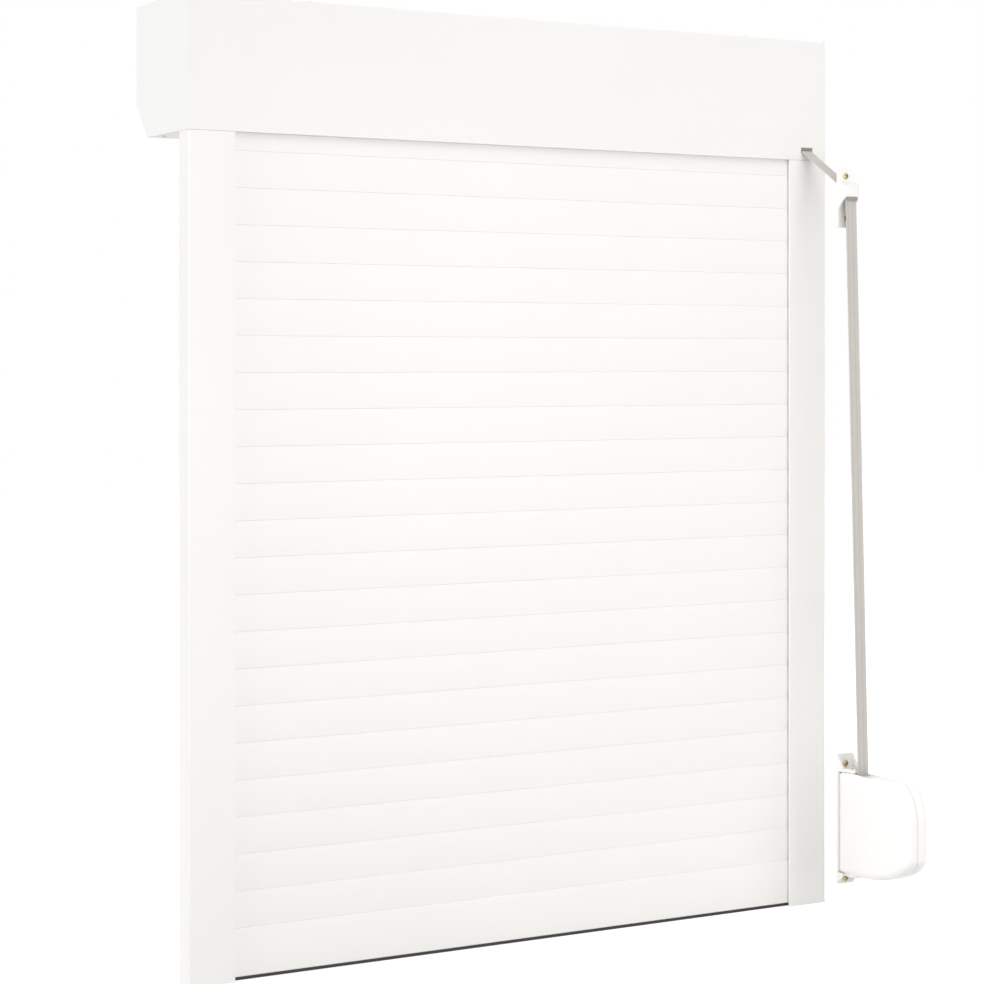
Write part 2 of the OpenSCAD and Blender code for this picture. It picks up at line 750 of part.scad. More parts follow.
// Cheeks on both sides of a trough in which the back of the case swivels
module bracket_cheeks() {
  difference() {
    translate([strap_x - bracket_w / 2, plate_y - cheek, case_bot - lug_gap - lug_t / 2])
      cube([bracket_w, cheek + plate_t / 2, case_h + 2 * lug_gap + lug_t]);
    translate([strap_x, swivel_y, case_bot - 1]) cylinder(r = sweep_r, h = case_h + 2);
  }
}
module winder_bracket() {
  color("white") difference() {
    union() {
      on_wall(plate_t) bracket_face();
      bracket_cheeks();
      for (z = [case_top + lug_gap, case_bot - lug_gap - lug_t])
        translate([strap_x, plate_y, z]) linear_extrude(lug_t) lug_face();
      for (s = [-1, 1])
        along_x(strap_x + s * (bracket_w / 2 - 1) - 1, strap_x + s * (bracket_w / 2 - 1) + 1) {
          translate([0, case_top]) ear_rib(ear_h);
          translate([0, case_bot]) mirror([0, 1]) ear_rib(foot_h);
        }
    }
    translate([strap_x, swivel_y, case_bot - 20]) cylinder(r = swivel_r + 0.02, h = case_h + 40);
    for (z = bracket_screw_z) translate([strap_x, 0, z]) rotate([90, 0, 0])
      translate([0, 0, frame_depth - 1]) cylinder(r = thread_r + 0.1, h = plate_t + 2);
  }
}
module bracket_screws() {
  color("goldenrod") for (z = bracket_screw_z) wall_screw(z, winder_screw_len);
}
module hinge_pins() {
  color("silver") translate([strap_x, swivel_y, 0]) {
    translate([0, 0, case_top - pin_in]) cylinder(r = swivel_r, h = pin_in + lug_gap + lug_t);
    translate([0, 0, case_top + lug_gap + lug_t]) cylinder(r = swivel_r + 1.5, h = 1.2);
    translate([0, 0, case_bot - lug_gap - lug_t]) cylinder(r = swivel_r, h = pin_in + lug_gap + lug_t);
    translate([0, 0, case_bot - lug_gap - lug_t - 1.2]) cylinder(r = swivel_r + 1.5, h = 1.2);
  }
}
// Side view of the case drawn in by d, at height x over the seam: flat back, elliptic front corners
function case_ring(d, x) =
  let (
    e1 = [top_round_y - d, top_round_z - d],
    e2 = [low_round_y - d, low_round_z - d],
    high = [case_y0 + d + e1[0], case_top - d - e1[1]],
    low = [case_y0 + d + e2[0], case_bot + d + e2[1]],
    line = concat(
      [[case_y1 - d, case_top - d]],
      [for (a = [0:6:90]) high + [-e1[0] * sin(a), e1[1] * cos(a)]],
      [for (a = [0:6:90]) low - [e2[0] * cos(a), e2[1] * sin(a)]],
      [[case_y1 - d, case_bot + d]]
    )
  )
  [for (p = line) [x, p[0], p[1]]];
// Half of the case as a hollow pillow whose edges follow a quarter circle, with the strap mouth
module case_shell() {
  steps = 5;
  inner_r = case_round - case_wall;
  turn = [for (i = [0:steps]) 90 * i / steps];
  base = case_w / 2 - case_round;
  rings = concat(
    [case_ring(0, 0)],
    [for (a = turn) case_ring(case_round * (1 - cos(a)), base + case_round * sin(a))],
    [for (i = [steps:-1:0])
      let (a = turn[i]) case_ring(case_wall + inner_r * (1 - cos(a)), base + inner_r * sin(a))],
    [case_ring(case_wall, 0)]
  );
  n = len(rings[0]);
  m = len(rings);
  cap = steps + 1;
  function at(k, i) = (k % m) * n + i % n;
  faces = concat(
    [for (k = [0:m - 1], i = [0:n - 1]) if (k != cap)
      [at(k, i), at(k + 1, i), at(k + 1, i + 1), at(k, i + 1)]],
    [[for (i = [n - 1:-1:0]) at(cap, i)]],
    [[for (i = [0:n - 1]) at(cap + 1, i)]]
  );
  difference() {
    polyhedron([for (r = rings, p = r) p], faces);
    translate([-1, mouth[0] - 10, case_top - 10]) cube([slot_w / 2 + 1.2, 17, 20]);
  }
}
module case_part() {
  difference() {
    union() {
      case_shell();
      rotate([0, 90, 0]) translate([-spool_c[1], spool_c[0], case_w / 2 - case_wall - 0.01 - axle_seat])
        cylinder(r = 7, h = axle_seat + 0.02);
      for (z = [case_top - case_wall - pin_in + 1.2, case_bot + case_wall - 1])
        translate([0, swivel_y, z]) intersection() {
          cylinder(r = swivel_r + 2.4, h = pin_in);
          translate([0, -20, -1]) cube([40, 40, 40]);
        }
    }
    translate([-1, spool_c[0], spool_c[1]]) rotate([0, 90, 0])
      cylinder(r = 4.02, h = case_w / 2 - case_wall + 1);
    translate([0, swivel_y, case_bot - 5]) cylinder(r = swivel_r + run_gap, h = case_h + 10);
  }
}
module winder_case_left() {
  color("white") translate([strap_x, 0, 0]) mirror([1, 0, 0]) case_part();
}
module winder_case_right() {
  color("whitesmoke") translate([strap_x, 0, 0]) case_part();
}
module winder_spool() {
  x0 = strap_x - spool_half;
  x1 = strap_x + spool_half;
  color("lightgray") difference() {
    union() {
      bar_x(spool_c[0], spool_c[1], spool_r, x0, x0 + 1.4);
      bar_x(spool_c[0], spool_c[1], spool_r, x1 - 1.4, x1);
      bar_x(spool_c[0], spool_c[1], drum_r, x0, x1);
    }
    bar_x(spool_c[0], spool_c[1], drum_r - 3, x0 + 3, x1 + 1);
    bar_x(spool_c[0], spool_c[1], 4 + run_gap, x0 - 1, x1 + 1);
  }
}
module spool_axle() {
  color("silver") bar_x(spool_c[0], spool_c[1], 4, strap_x - case_w / 2 + case_wall + 0.2,
    strap_x + case_w / 2 - case_wall - 0.2);
}
module spool_strap() {
  color("tan") difference() {
    bar_x(spool_c[0], spool_c[1], wound_r, strap_x - strap_w / 2, strap_x + strap_w / 2);
    bar_x(spool_c[0], spool_c[1], drum_r + 0.1, strap_x - strap_w, strap_x + strap_w);
  }
}
// Spiral spring strip between the axle and the drum
module spiral_spring() {
  r0 = 4 + spring_t / 2 + 0.1;
  r1 = drum_r - 3 - spring_t / 2 - 0.4;
  n = spring_turns * 20;
  function turn(i) = (r0 + (r1 - r0) * i / n) * [cos(18 * i), sin(18 * i)];
  line = [for (i = [0:n]) spool_c + turn(i)];
  color("silver") along_x(strap_x - spool_half + 3.6, strap_x + spool_half - 1.6)
    polygon(band(line, spring_t));
}

box_shell();
box_cover();
cover_screws();
end_cap_left();
end_cap_right();
bearings();
tube();
tube_plug();
axle_pins();
strap_disc();
disc_strap();
hangers();
rail_left();
rail_right();
rail_inlets();
rail_seals();
rail_plugs();
slats();
end_slat();
bottom_seal();
end_stops();
strap_grommet();
strap_upper();
strap_lower();
strap_tail();
guide_plate();
guide_roller();
guide_pin();
guide_screws();
winder_bracket();
bracket_screws();
hinge_pins();
winder_case_left();
winder_case_right();
winder_spool();
spool_axle();
spool_strap();
spiral_spring();
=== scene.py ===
"""Looks of an exterior roller shutter with strap drive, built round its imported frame."""

import math

import bmesh
import bpy
import numpy as np
from bpy.props import FloatProperty, FloatVectorProperty, IntProperty, PointerProperty
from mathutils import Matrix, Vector
from mathutils.geometry import tessellate_polygon


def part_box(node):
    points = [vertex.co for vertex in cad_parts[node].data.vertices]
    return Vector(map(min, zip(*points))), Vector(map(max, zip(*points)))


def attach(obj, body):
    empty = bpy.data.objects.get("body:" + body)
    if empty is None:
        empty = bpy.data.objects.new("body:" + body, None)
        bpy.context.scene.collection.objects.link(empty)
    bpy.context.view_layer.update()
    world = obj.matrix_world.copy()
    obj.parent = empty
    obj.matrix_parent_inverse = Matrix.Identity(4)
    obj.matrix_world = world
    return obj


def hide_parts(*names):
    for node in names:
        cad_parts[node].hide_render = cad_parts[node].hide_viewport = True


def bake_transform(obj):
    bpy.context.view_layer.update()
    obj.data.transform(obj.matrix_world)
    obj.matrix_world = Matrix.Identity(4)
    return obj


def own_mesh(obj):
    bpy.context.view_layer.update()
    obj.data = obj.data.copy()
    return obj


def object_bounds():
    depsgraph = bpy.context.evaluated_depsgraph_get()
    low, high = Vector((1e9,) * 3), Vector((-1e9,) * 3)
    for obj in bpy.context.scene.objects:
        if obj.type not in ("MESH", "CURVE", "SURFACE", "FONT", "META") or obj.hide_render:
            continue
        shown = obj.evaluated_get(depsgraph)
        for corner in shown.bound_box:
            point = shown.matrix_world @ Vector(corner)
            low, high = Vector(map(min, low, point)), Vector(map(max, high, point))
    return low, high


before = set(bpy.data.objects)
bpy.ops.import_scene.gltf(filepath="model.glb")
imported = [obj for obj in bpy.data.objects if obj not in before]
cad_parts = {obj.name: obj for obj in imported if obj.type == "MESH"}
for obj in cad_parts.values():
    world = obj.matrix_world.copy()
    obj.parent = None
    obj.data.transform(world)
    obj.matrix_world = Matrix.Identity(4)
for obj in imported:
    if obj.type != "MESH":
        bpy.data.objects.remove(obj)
CAD_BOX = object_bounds()

bl_info = {
    "name": "Roller shutter with strap drive",
    "version": (1, 0, 0),
    "blender": (4, 5, 0),
    "location": "View3D > Sidebar > Shutter",
    "description": "Dresses the frame of a roller shutter: box, rails, curtain, strap and winder",
    "category": "Object",
}

MM = 0.001
SEED = 11
MERGE = 2e-6
FLAT_ANGLE = math.radians(0.6)
SHARP_ANGLE = math.radians(30)
BEVEL_ANGLE = math.radians(40)
FLOOR_Z = CAD_BOX[0][2]
SLATS = sorted(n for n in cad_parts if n.startswith("slat_"))


def length(name, text, millimetres):
    """Property for a length, written in millimetres."""
    return FloatProperty(name=name, description=text, default=millimetres * MM, unit="LENGTH", precision=4)


def measured(name, text, metres):
    """Property for a length that comes from the frame."""
    return FloatProperty(name=name, description=text, default=metres, unit="LENGTH", precision=4)


def end_of(node, axis, far):
    """Where a frame node begins (far 0) or ends (far 1) along an axis (0, 1 or 2)."""
    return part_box(node)[far][axis]


def middle_of(node):
    """Middle of a frame node in Y and Z."""
    low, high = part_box(node)
    return np.array([(low[1] + high[1]) / 2, (low[2] + high[2]) / 2])


def colour(name, text, rgb):
    """Property for a colour."""
    return FloatVectorProperty(
        name=name, description=text, default=rgb, subtype="COLOR", size=3, min=0, max=1)


def spot(name, text, metres):
    """Property for a place."""
    return FloatVectorProperty(name=name, description=text, default=metres, subtype="TRANSLATION", size=3)


def turning(name, text, degrees):
    """Property for an angle, written in degrees."""
    return FloatProperty(name=name, description=text, default=math.radians(degrees), subtype="ANGLE")


def level(name, text, value, unit="NONE"):
    """Property for a plain value, such as a power or a tone."""
    return FloatProperty(name=name, description=text, default=value, unit=unit)


class ShutterBox(bpy.types.PropertyGroup):
    """Sizes of the box, its sheets and its strap slot."""

    side: measured("Side", "Side of the square box section over the sheets", end_of("box_shell", 2, 1))
    half: measured("Half length", "Half the length of the box sheets", end_of("box_shell", 0, 1))
    sheet: length("Sheet", "Thickness of the bent sheets", 1.4)
    bend: length("Bend", "Radius of the bends, at the middle of the sheet", 2.2)
    cham_y: length("Chamfer depth", "Depth of the outdoor lower chamfer", 29)
    cham_z: length("Chamfer height", "Height of the outdoor lower chamfer", 36)
    drip: length("Drip edge", "Height of the downturned edge of the top panel outdoors", 12)
    cover_y: measured("Cover start", "Where the cover's underside begins behind the curtain",
                      end_of("box_cover", 1, 0))
    flange: length("Flange", "Half the length of the cover's upturned flange behind the curtain", 356)
    hem: length("Hem", "Half the length of the cover's hem behind the drip edge", 386)
    lip_half: length("Lip", "Half the length of the lip above the curtain", 348)
    lip_y: length("Lip depth", "How far that lip reaches towards the curtain", 3.3)
    slot_x0: length("Slot left", "Left edge of the strap slot", 365)
    slot_x1: length("Slot right", "Right edge of the strap slot", 382)
    slot_z0: length("Slot sill", "Lower edge of the strap slot", 4.9)
    slot_z1: length("Slot top", "Upper edge of the strap slot", 14.7)
    cap_edge: length("Cap edge", "Rounding of the end caps' edges", 0.9)


class ShutterRails(bpy.types.PropertyGroup):
    """Sizes of the guide rails."""

    half: length("Half width", "Half the width over both rails", 400)
    width: length("Face width", "Face width of a rail", 51)
    depth: measured("Depth", "Depth of a rail", end_of("rail_left", 1, 1))
    wall: length("Wall", "Wall of the rail profile", 1.8)
    channel: length("Channel depth", "Depth of the channel for the slat ends", 19)
    mouth: length("Channel width", "Width of that channel", 11.8)
    lip: length("Lip", "Thickness of the lip on the window side of the channel", 3.2)
    bed: length("Bed", "Thickness of the bed behind the channel", 3.4)
    drop: length("Length", "Length of the rails below the box", 863)
    edge: length("Edge", "Rounding of the outer edges", 1.2)
    pile: length("Pile", "Height of the pile strips in the channel mouth", 1.35)
    pile_in: length("Pile place", "Distance of the pile strips from the mouth of the channel", 2.6)
    joint: length("Joint", "Open joint between a rail and the box", 0.25)


class ShutterCurtain(bpy.types.PropertyGroup):
    """Sizes of the slats, the bottom slat and its seal."""

    half: measured("Half width", "Half the width of the slats", end_of(SLATS[0], 0, 1))
    middle: measured("Middle plane", "Distance of the slats' middle plane from the window-side face",
                     middle_of(SLATS[0])[0])
    thick: length("Thickness", "Thickness of a slat", 8.4)
    crown: length("Crown", "Bulge of a slat's face", 0.6)
    wall: length("Wall", "Wall of the hollow slats", 1)
    gap: length("Gap", "Gap between two slats", 0.05)
    edge: length("Edge", "Rounding of a slat's long edges", 0.36)
    bead: length("Bead", "Radius of the bead that links two slats", 2)
    neck: length("Neck", "Width of the neck that carries the bead", 2)
    end_height: length("Bottom slat", "Height of the bottom slat with its seal", 52.7)
    seal: length("Seal", "Height of the rubber seal below the bottom slat", 3.4)
    stop: length("Stop", "Radius of the buffer stops", 8)
    lift_keep: FloatProperty(
        name="Rolled share", description="Share of the curtain's height left in the box when it is wound up",
        default=0.02, subtype="FACTOR", min=0.001, max=1)
    lift_anchor: length("Rolled place", "Height towards which the slats close when the curtain lifts", -790)


class ShutterStrap(bpy.types.PropertyGroup):
    """Sizes of the strap and the places where it bends."""

    middle: measured("Middle", "Place of the strap along the box",
                     (end_of("strap_lower", 0, 0) + end_of("strap_lower", 0, 1)) / 2)
    width: measured("Width", "Width of the strap", end_of("strap_lower", 0, 1) - end_of("strap_lower", 0, 0))
    thick: length("Thickness", "Thickness of the strap", 1.2)
    ribs: IntProperty(name="Ribs", description="Lengthwise ribs of the webbing", default=8, min=2, max=16)
    rib_height: length("Rib height", "Height of a rib over the ground of the webbing", 0.16)
    selvedge: length("Selvedge", "Width of the firm edge on each side", 1.3)
    exit_y: length("Exit depth", "Where the strap bends over the sill of the slot, in depth", 2)
    exit_z: length("Exit height", "Where the strap bends over the sill of the slot, in height", 10.7)
    bend_y: length("Bend depth", "Where the strap bends over the guide roller, in depth", -81)
    bend_z: length("Bend height", "Where the strap bends over the guide roller, in height", -40)
    sill: length("Sill", "Radius of the bend over the sill, at the middle of the strap", 4.7)
    roller: length("Roller", "Radius of the bend over the guide roller, at the middle of the strap", 5.7)
    below: length("Below the bend", "Length of the guided strap below its bend", 13)
    hood_z: length("Hood", "Lower edge of the guide's hood", -46.4)
    # The dark brush below the hood is painted shadow: it hangs where the hood's shadow falls on the strap.
    brush: length("Brush", "How far the bristles reach below the hood", 4.3)
    mouth_y: length("Mouth", "Where the strap enters the winder, in depth", -103.3)
    core: length("Core", "Radius at which the wound strap begins", 24.8)
    loose: length("Loose", "Room between the wound strap and the strap that leaves it", 0.4)


class ShutterWinder(bpy.types.PropertyGroup):
    """Sizes of the winder, its bracket and the wall screws."""

    wall: measured("Wall plane", "Plane of the wall behind the guide and the winder",
                   end_of("winder_bracket", 1, 1))
    plate: length("Plate", "Thickness of the wall plates", 2.5)
    half: measured("Half thickness", "Half the thickness of the case",
                   (end_of("winder_case_right", 0, 1) - end_of("winder_case_left", 0, 0)) / 2)
    back: measured("Back", "Back face of the case", end_of("winder_case_left", 1, 1))
    front: measured("Front", "Front of the case", end_of("winder_case_left", 1, 0))
    top: measured("Top", "Top of the case", end_of("winder_case_left", 2, 1))
    bottom: measured("Bottom", "Bottom of the case", end_of("winder_case_left", 2, 0))
    high_y: length("Top corner depth", "Depth of the elliptic corner at the top front", 27)
    high_z: length("Top corner height", "Height of the elliptic corner at the top front", 49)
    low_y: length("Bottom corner depth", "Depth of the elliptic corner at the bottom front", 85)
    low_z: length("Bottom corner height", "Height of the elliptic corner at the bottom front", 34)
    round_back: length("Back corner", "Corner radius at the back", 2.4)
    pillow: length("Edge", "Rounding of the case's long edges", 9.4)
    shell: length("Shell", "Wall of the case", 2.2)
    seam: length("Seam", "Depth of the groove where the halves meet", 0.3)
    swivel_y: length("Swivel", "Depth of the swivel's axis", -90.5)
    swivel_r: length("Swivel radius", "Radius about that axis to which the back bulges", 17.9)
    swing: turning("Swing", "Turn of the case to either side", 80)
    swivel_gap: length("Swivel gap", "Room between the case's back and the bracket's trough", 0.6)
    mouth_y0: length("Mouth front", "Front end of the strap's mouth", -113.3)
    mouth_y1: length("Mouth back", "Back end of the strap's mouth", -96.3)
    mouth_half: length("Mouth width", "Half the width of the strap's mouth", 8.7)
    screw: length("Screw head", "Radius of the screw heads", 3.5)


class ShutterFinishes(bpy.types.PropertyGroup):
    """Colours of all the pieces."""

    coat: colour("Coat", "Baked coat of the box", (0.88, 0.863, 0.843))
    rail: colour("Rails", "Baked coat of the rails", (0.9, 0.884, 0.864))
    slat: colour("Slats", "Coat of the slats", (0.9, 0.884, 0.862))
    cap: colour("End caps", "Coat of the cast end caps", (0.87, 0.866, 0.848))
    moulded: colour("Mouldings", "White plastic of the guide and the winder", (0.9, 0.888, 0.868))
    rubber: colour("Rubber", "Seal and buffers", (0.016, 0.016, 0.017))
    dark: colour("Dark plastic", "Disc, plug and rail feet", (0.05, 0.051, 0.054))
    # Dark pile of the two brushes: painted shadow under the guide's hood and painted shade in the strap
    # slot.
    pile: colour("Pile", "Brushes that wipe the strap", (0.3, 0.295, 0.285))
    strip: colour("Strips", "Pile strips in the rails", (0.66, 0.65, 0.63))
    webbing: colour("Webbing", "Ground of the strap", (0.6, 0.57, 0.535))
    stripe: colour("Stripe", "Darker lengthwise stripes of the strap", (0.45, 0.415, 0.385))
    brass: colour("Brass", "Screws of the guide and the winder", (0.5, 0.4, 0.22))
    steel: colour("Steel", "Tube, pins, bearings and springs", (0.62, 0.62, 0.61))


class ShutterStage(bpy.types.PropertyGroup):
    """Camera, lamps, floor and sky."""

    eye: spot("Camera", "Place of the camera", (-1.3755, -2.2985, -0.2351))
    turn: turning("Turn", "Turn of the level camera to the right", 30)
    lens: level("Lens", "Focal length in millimetres", 90.335)
    lift: level("Shift", "Vertical shift of the view", -0.131)
    aim: spot("Aim", "Place in the shutter that the lamps face", (0, 0, -0.36))
    key: level("Key lamp", "Power of the lamp above in front", 128.0, "POWER")
    key_size: level("Key size", "Side of the lamp above in front", 4.0, "LENGTH")
    key_at: spot("Key place", "Place of the lamp above in front", (-0.3, -3.4, 4.6))
    fill: level("Fill lamp", "Power of the lamp in front", 9.3, "POWER")
    fill_size: level("Fill size", "Side of the lamp in front", 1.4, "LENGTH")
    fill_at: spot("Fill place", "Place of the lamp in front", (0.15, -1.5, -0.3))
    back: level("Back lamp", "Power of the lamp outdoors", 40.0, "POWER")
    back_size: level("Back size", "Side of the lamp outdoors", 2.4, "LENGTH")
    back_at: spot("Back place", "Place of the lamp outdoors", (0.8, 2.6, 1.2))
    side: level("Side light", "Strength of the even light from the left", 1.65)
    side_size: turning("Side width", "Angle that the even light from the left fills", 30)
    side_at: spot("Side place", "Where the even light from the left comes from", (-3, 0, 0))
    sky: level("Sky", "Level of the even light from all round", 0.5)
    floor_half: level("Floor", "Half the side of the floor", 9.0, "LENGTH")
    floor_tone: level("Floor tone", "Grey of the floor", 0.62)
    floor_glow: level("Floor glow", "Light of the floor's own that looking rays see", 0.72)


GROUPS = {
    "shutter_box": ShutterBox,
    "shutter_rails": ShutterRails,
    "shutter_curtain": ShutterCurtain,
    "shutter_strap": ShutterStrap,
    "shutter_winder": ShutterWinder,
    "shutter_finishes": ShutterFinishes,
    "shutter_stage": ShutterStage,
}


def arc(centre, radius, start, stop, steps):
    """Points of an arc: the centre plus the radius turned from start to stop, in degrees."""
    a = np.radians(np.linspace(start, stop, steps + 1))
    return np.asarray(centre) + radius * np.c_[np.cos(a), np.sin(a)]


def rounded_path(points, radii, steps=8):
    """A line whose corners are arcs.

    The arc's centre lies on the bisector of its corner, at radius / sin(half the angle), and the arc
    runs between the feet of that centre on the two legs. A corner with radius 0 stays a point.
    """
    p = np.asarray(points, float)
    parts = [p[:1]]
    for a, b, c, r in zip(p[:-2], p[1:-1], p[2:], radii):
        if r == 0:
            parts.append(b[None])
            continue
        u = (a - b) / np.linalg.norm(a - b)
        w = (c - b) / np.linalg.norm(c - b)
        half = 0.5 * math.acos(np.clip(u @ w, -1, 1))
        middle = b + (u + w) / np.linalg.norm(u + w) * r / math.sin(half)
        first = b + u * r / math.tan(half) - middle
        last = b + w * r / math.tan(half) - middle
        sweep = math.pi - 2 * half
        t = np.linspace(0, 1, steps + 1)[:, None]
        parts.append(middle + (np.sin((1 - t) * sweep) * first + np.sin(t * sweep) * last) / math.sin(sweep))
    parts.append(p[-1:])
    return np.concatenate(parts)


def rounded_loop(points, radii, steps=6):
    """A closed outline whose corners are arcs, as in rounded_path."""
    p = np.asarray(points, float)
    ring = np.concatenate([p[-1:], p, p[:1]])
    return rounded_path(ring, radii, steps)[1:-1]


def normals_along(path):
    """Unit normals of a plane line: the mean direction of the legs at each point, turned by 90 degrees."""
    leg = np.diff(path, axis=0)
    leg /= np.linalg.norm(leg, axis=1, keepdims=True)
    t = np.concatenate([leg[:1], leg]) + np.concatenate([leg, leg[-1:]])
    t /= np.linalg.norm(t, axis=1, keepdims=True)
    return np.c_[-t[:, 1], t[:, 0]]


def sheet_loop(path, thick):
    """Outline of a sheet: the line moved by half the thickness to one side, and back along the other."""
    n = normals_along(path) * thick / 2
    return np.concatenate([path + n, (path - n)[::-1]])


def grid_faces(rows, cols, wrap_rows=False, wrap_cols=False):
    """Quads of a grid in which the point of row r and column c has the number r * cols + c."""
    r = np.arange(rows if wrap_rows else rows - 1)[:, None]
    c = np.arange(cols if wrap_cols else cols - 1)[None, :]
    r1 = (r + 1) % rows
    c1 = (c + 1) % cols
    quads = np.broadcast_arrays(r * cols + c, r * cols + c1, r1 * cols + c1, r1 * cols + c)
    return np.stack(quads, -1).reshape(-1, 4)


def tube_faces(rows, cols):
    """Quads of a closed section of some columns carried along rows, and a face at each end."""
    ends = [list(range(cols)), list(range((rows - 1) * cols, rows * cols))]
    return grid_faces(rows, cols, False, True).tolist() + ends


def turned_faces(sides, steps):
    """Quads of a profile of some steps turned round an axis in some sides, and a face at each pole."""
    ends = [list(range(0, sides * steps, steps)), list(range(steps - 1, sides * steps, steps))]
    return grid_faces(sides, steps, True, False).tolist() + ends


def make_piece(name, points, faces, smooth=32.0, outward=True):
    """Puts points and faces into a mesh object, turned outwards and shaded smooth below an angle."""
    mesh = bpy.data.meshes.new(name)
    corners = np.asarray(points, float).reshape(-1, 3).tolist()
    mesh.from_pydata(corners, [], [list(map(int, f)) for f in faces])
    if outward:
        bm = bmesh.new()
        bm.from_mesh(mesh)
        bmesh.ops.recalc_face_normals(bm, faces=bm.faces)
        bm.to_mesh(mesh)
        bm.free()
    mesh.polygons.foreach_set("use_smooth", np.ones(len(mesh.polygons), bool))
    mesh.set_sharp_from_angle(angle=math.radians(smooth))
    obj = bpy.data.objects.new(name, mesh)
    bpy.context.scene.collection.objects.link(obj)
    return obj


def place(across, along, axis):
    """Points of a plane drawing carried to a height along an axis: (Y, Z) for X, (X, Y) for Z."""
    flat = np.asarray(across, float)
    h = np.full((len(flat), 1), along)
    return np.hstack([h, flat]) if axis == "X" else np.hstack([flat, h])


def prism_mesh(loops, low, high, axis):
    """Points and faces of a section carried along an axis.

    Each loop gives a wall between its two copies, and both ends are filled between the first loop and
    the holes that the others make.
    """
    flat = np.concatenate(loops)
    n = len(flat)
    points = np.concatenate([place(flat, low, axis), place(flat, high, axis)])
    faces = []
    start = 0
    for loop in loops:
        i = np.arange(len(loop))
        j = (i + 1) % len(loop)
        faces += np.c_[start + i, start + j, n + start + j, n + start + i].tolist()
        start += len(loop)
    fill = np.array(tessellate_polygon([[Vector((p[0], p[1], 0)) for p in loop] for loop in loops]))
    faces += fill.tolist() + (fill[:, ::-1] + n).tolist()
    return points, faces


def prism(name, loops, low, high, axis="X"):
    """A section carried along an axis, as one piece."""
    return make_piece(name, *prism_mesh(loops, low, high, axis))


def join_meshes(parts):
    """Several sets of points and faces as one set."""
    points, faces, start = [], [], 0
    for p, f in parts:
        points.append(np.asarray(p, float).reshape(-1, 3))
        faces += [[int(k) + start for k in face] for face in f]
        start += len(points[-1])
    return np.concatenate(points), faces


def softened(node, name, width, extra=()):
    """Copy of a frame node with its doubles merged, its flat faces joined and its edges rounded.

    The node's triangles already point outwards. Further sets of points and faces may be added, and these
    are turned outwards first.
    """
    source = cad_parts[node].data
    points = np.empty(len(source.vertices) * 3, np.float32)
    source.vertices.foreach_get("co", points)
    corners = np.empty(len(source.loops), np.int32)
    source.loops.foreach_get("vertex_index", corners)
    whole = join_meshes([(points, corners.reshape(-1, 3)), *extra])
    obj = make_piece(name, *whole, outward=False)
    bm = bmesh.new()
    bm.from_mesh(obj.data)
    if extra:
        bmesh.ops.recalc_face_normals(bm, faces=list(bm.faces)[len(corners) // 3:])
    bmesh.ops.remove_doubles(bm, verts=bm.verts, dist=MERGE)
    bmesh.ops.dissolve_limit(bm, angle_limit=FLAT_ANGLE, verts=bm.verts, edges=bm.edges)
    for edge in bm.edges:
        edge.smooth = True
    bm.to_mesh(obj.data)
    bm.free()
    obj.data.set_sharp_from_angle(angle=SHARP_ANGLE)
    bevel = obj.modifiers.new("edges", "BEVEL")
    bevel.width = width
    bevel.segments = 2
    bevel.limit_method = "ANGLE"
    bevel.angle_limit = BEVEL_ANGLE
    bevel.miter_outer = "MITER_ARC"
    bevel.harden_normals = True
    return obj


def settle(obj, body, slot, material, *nodes):
    """Gives a piece its material and its body, and hides the frame nodes that it stands for; its slot is not
    used.
    """
    obj.data.materials.clear()
    obj.data.materials.append(material)
    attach(obj, body)
    if nodes:
        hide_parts(*nodes)
    return obj


def dress(material, *nodes):
    """Gives frame nodes that stay in view their material."""
    for node in nodes:
        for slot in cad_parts[node].material_slots:
            slot.material = material


def new_group(name, inputs, outputs):
    """An empty shader node group with named inputs (name, default) and outputs (name, kind)."""
    tree = bpy.data.node_groups.new(name, "ShaderNodeTree")
    for label, default in inputs:
        kind = "NodeSocketColor" if isinstance(default, tuple) else "NodeSocketFloat"
        tree.interface.new_socket(label, in_out="INPUT", socket_type=kind).default_value = default
    for label, kind in outputs:
        tree.interface.new_socket(label, in_out="OUTPUT", socket_type="NodeSocket" + kind)
    return tree, tree.nodes.new("NodeGroupInput"), tree.nodes.new("NodeGroupOutput")


def add(tree, kind, links=None, **values):
    """A node with attributes set, and links into its inputs given as {input: output socket or value}."""
    node = tree.nodes.new("ShaderNode" + kind)
    for key, value in values.items():
        setattr(node, key, value)
    for key, source in (links or {}).items():
        if isinstance(source, bpy.types.NodeSocket):
            tree.links.new(source, node.inputs[key])
        else:
            node.inputs[key].default_value = source
    return node


def math_node(tree, operation, a, b=0.0, clamp=False):
    """Output of a Math node."""
    return add(tree, "Math", {0: a, 1: b}, operation=operation, use_clamp=clamp).outputs[0]


def blend_colour(tree, factor, a, b):
    """Output of a colour Mix node."""
    node = add(tree, "Mix", None, data_type="RGBA")
    for key, source in ((0, factor), (6, a), (7, b)):
        if isinstance(source, bpy.types.NodeSocket):
            tree.links.new(source, node.inputs[key])
        else:
            node.inputs[key].default_value = (*source, 1) if isinstance(source, tuple) else source
    return node.outputs[2]


def spread(tree, value, low, high):
    """Maps 0..1 onto low..high."""
    return add(tree, "MapRange", {0: value, 3: low, 4: high}).outputs[0]


def noise(tree, where, scale, detail, rough):
    """Output of a Noise Texture node."""
    links = {"Vector": where, "Scale": scale, "Detail": detail, "Roughness": rough}
    return add(tree, "TexNoise", links).outputs[0]


def build_coat_grain():
    """Fine orange peel of a baked or moulded surface, and the slow change of tone over it."""
    tree, given, out = new_group(
        "coat_grain", [("Scale", 900.0), ("Tone scale", 5.0)], [("Height", "Float"), ("Tone", "Float")])
    where = add(tree, "TexCoord").outputs["Object"]
    tree.links.new(noise(tree, where, given.outputs[0], 2.0, 0.45), out.inputs[0])
    tree.links.new(noise(tree, where, given.outputs[1], 3.0, 0.55), out.inputs[1])
    return tree


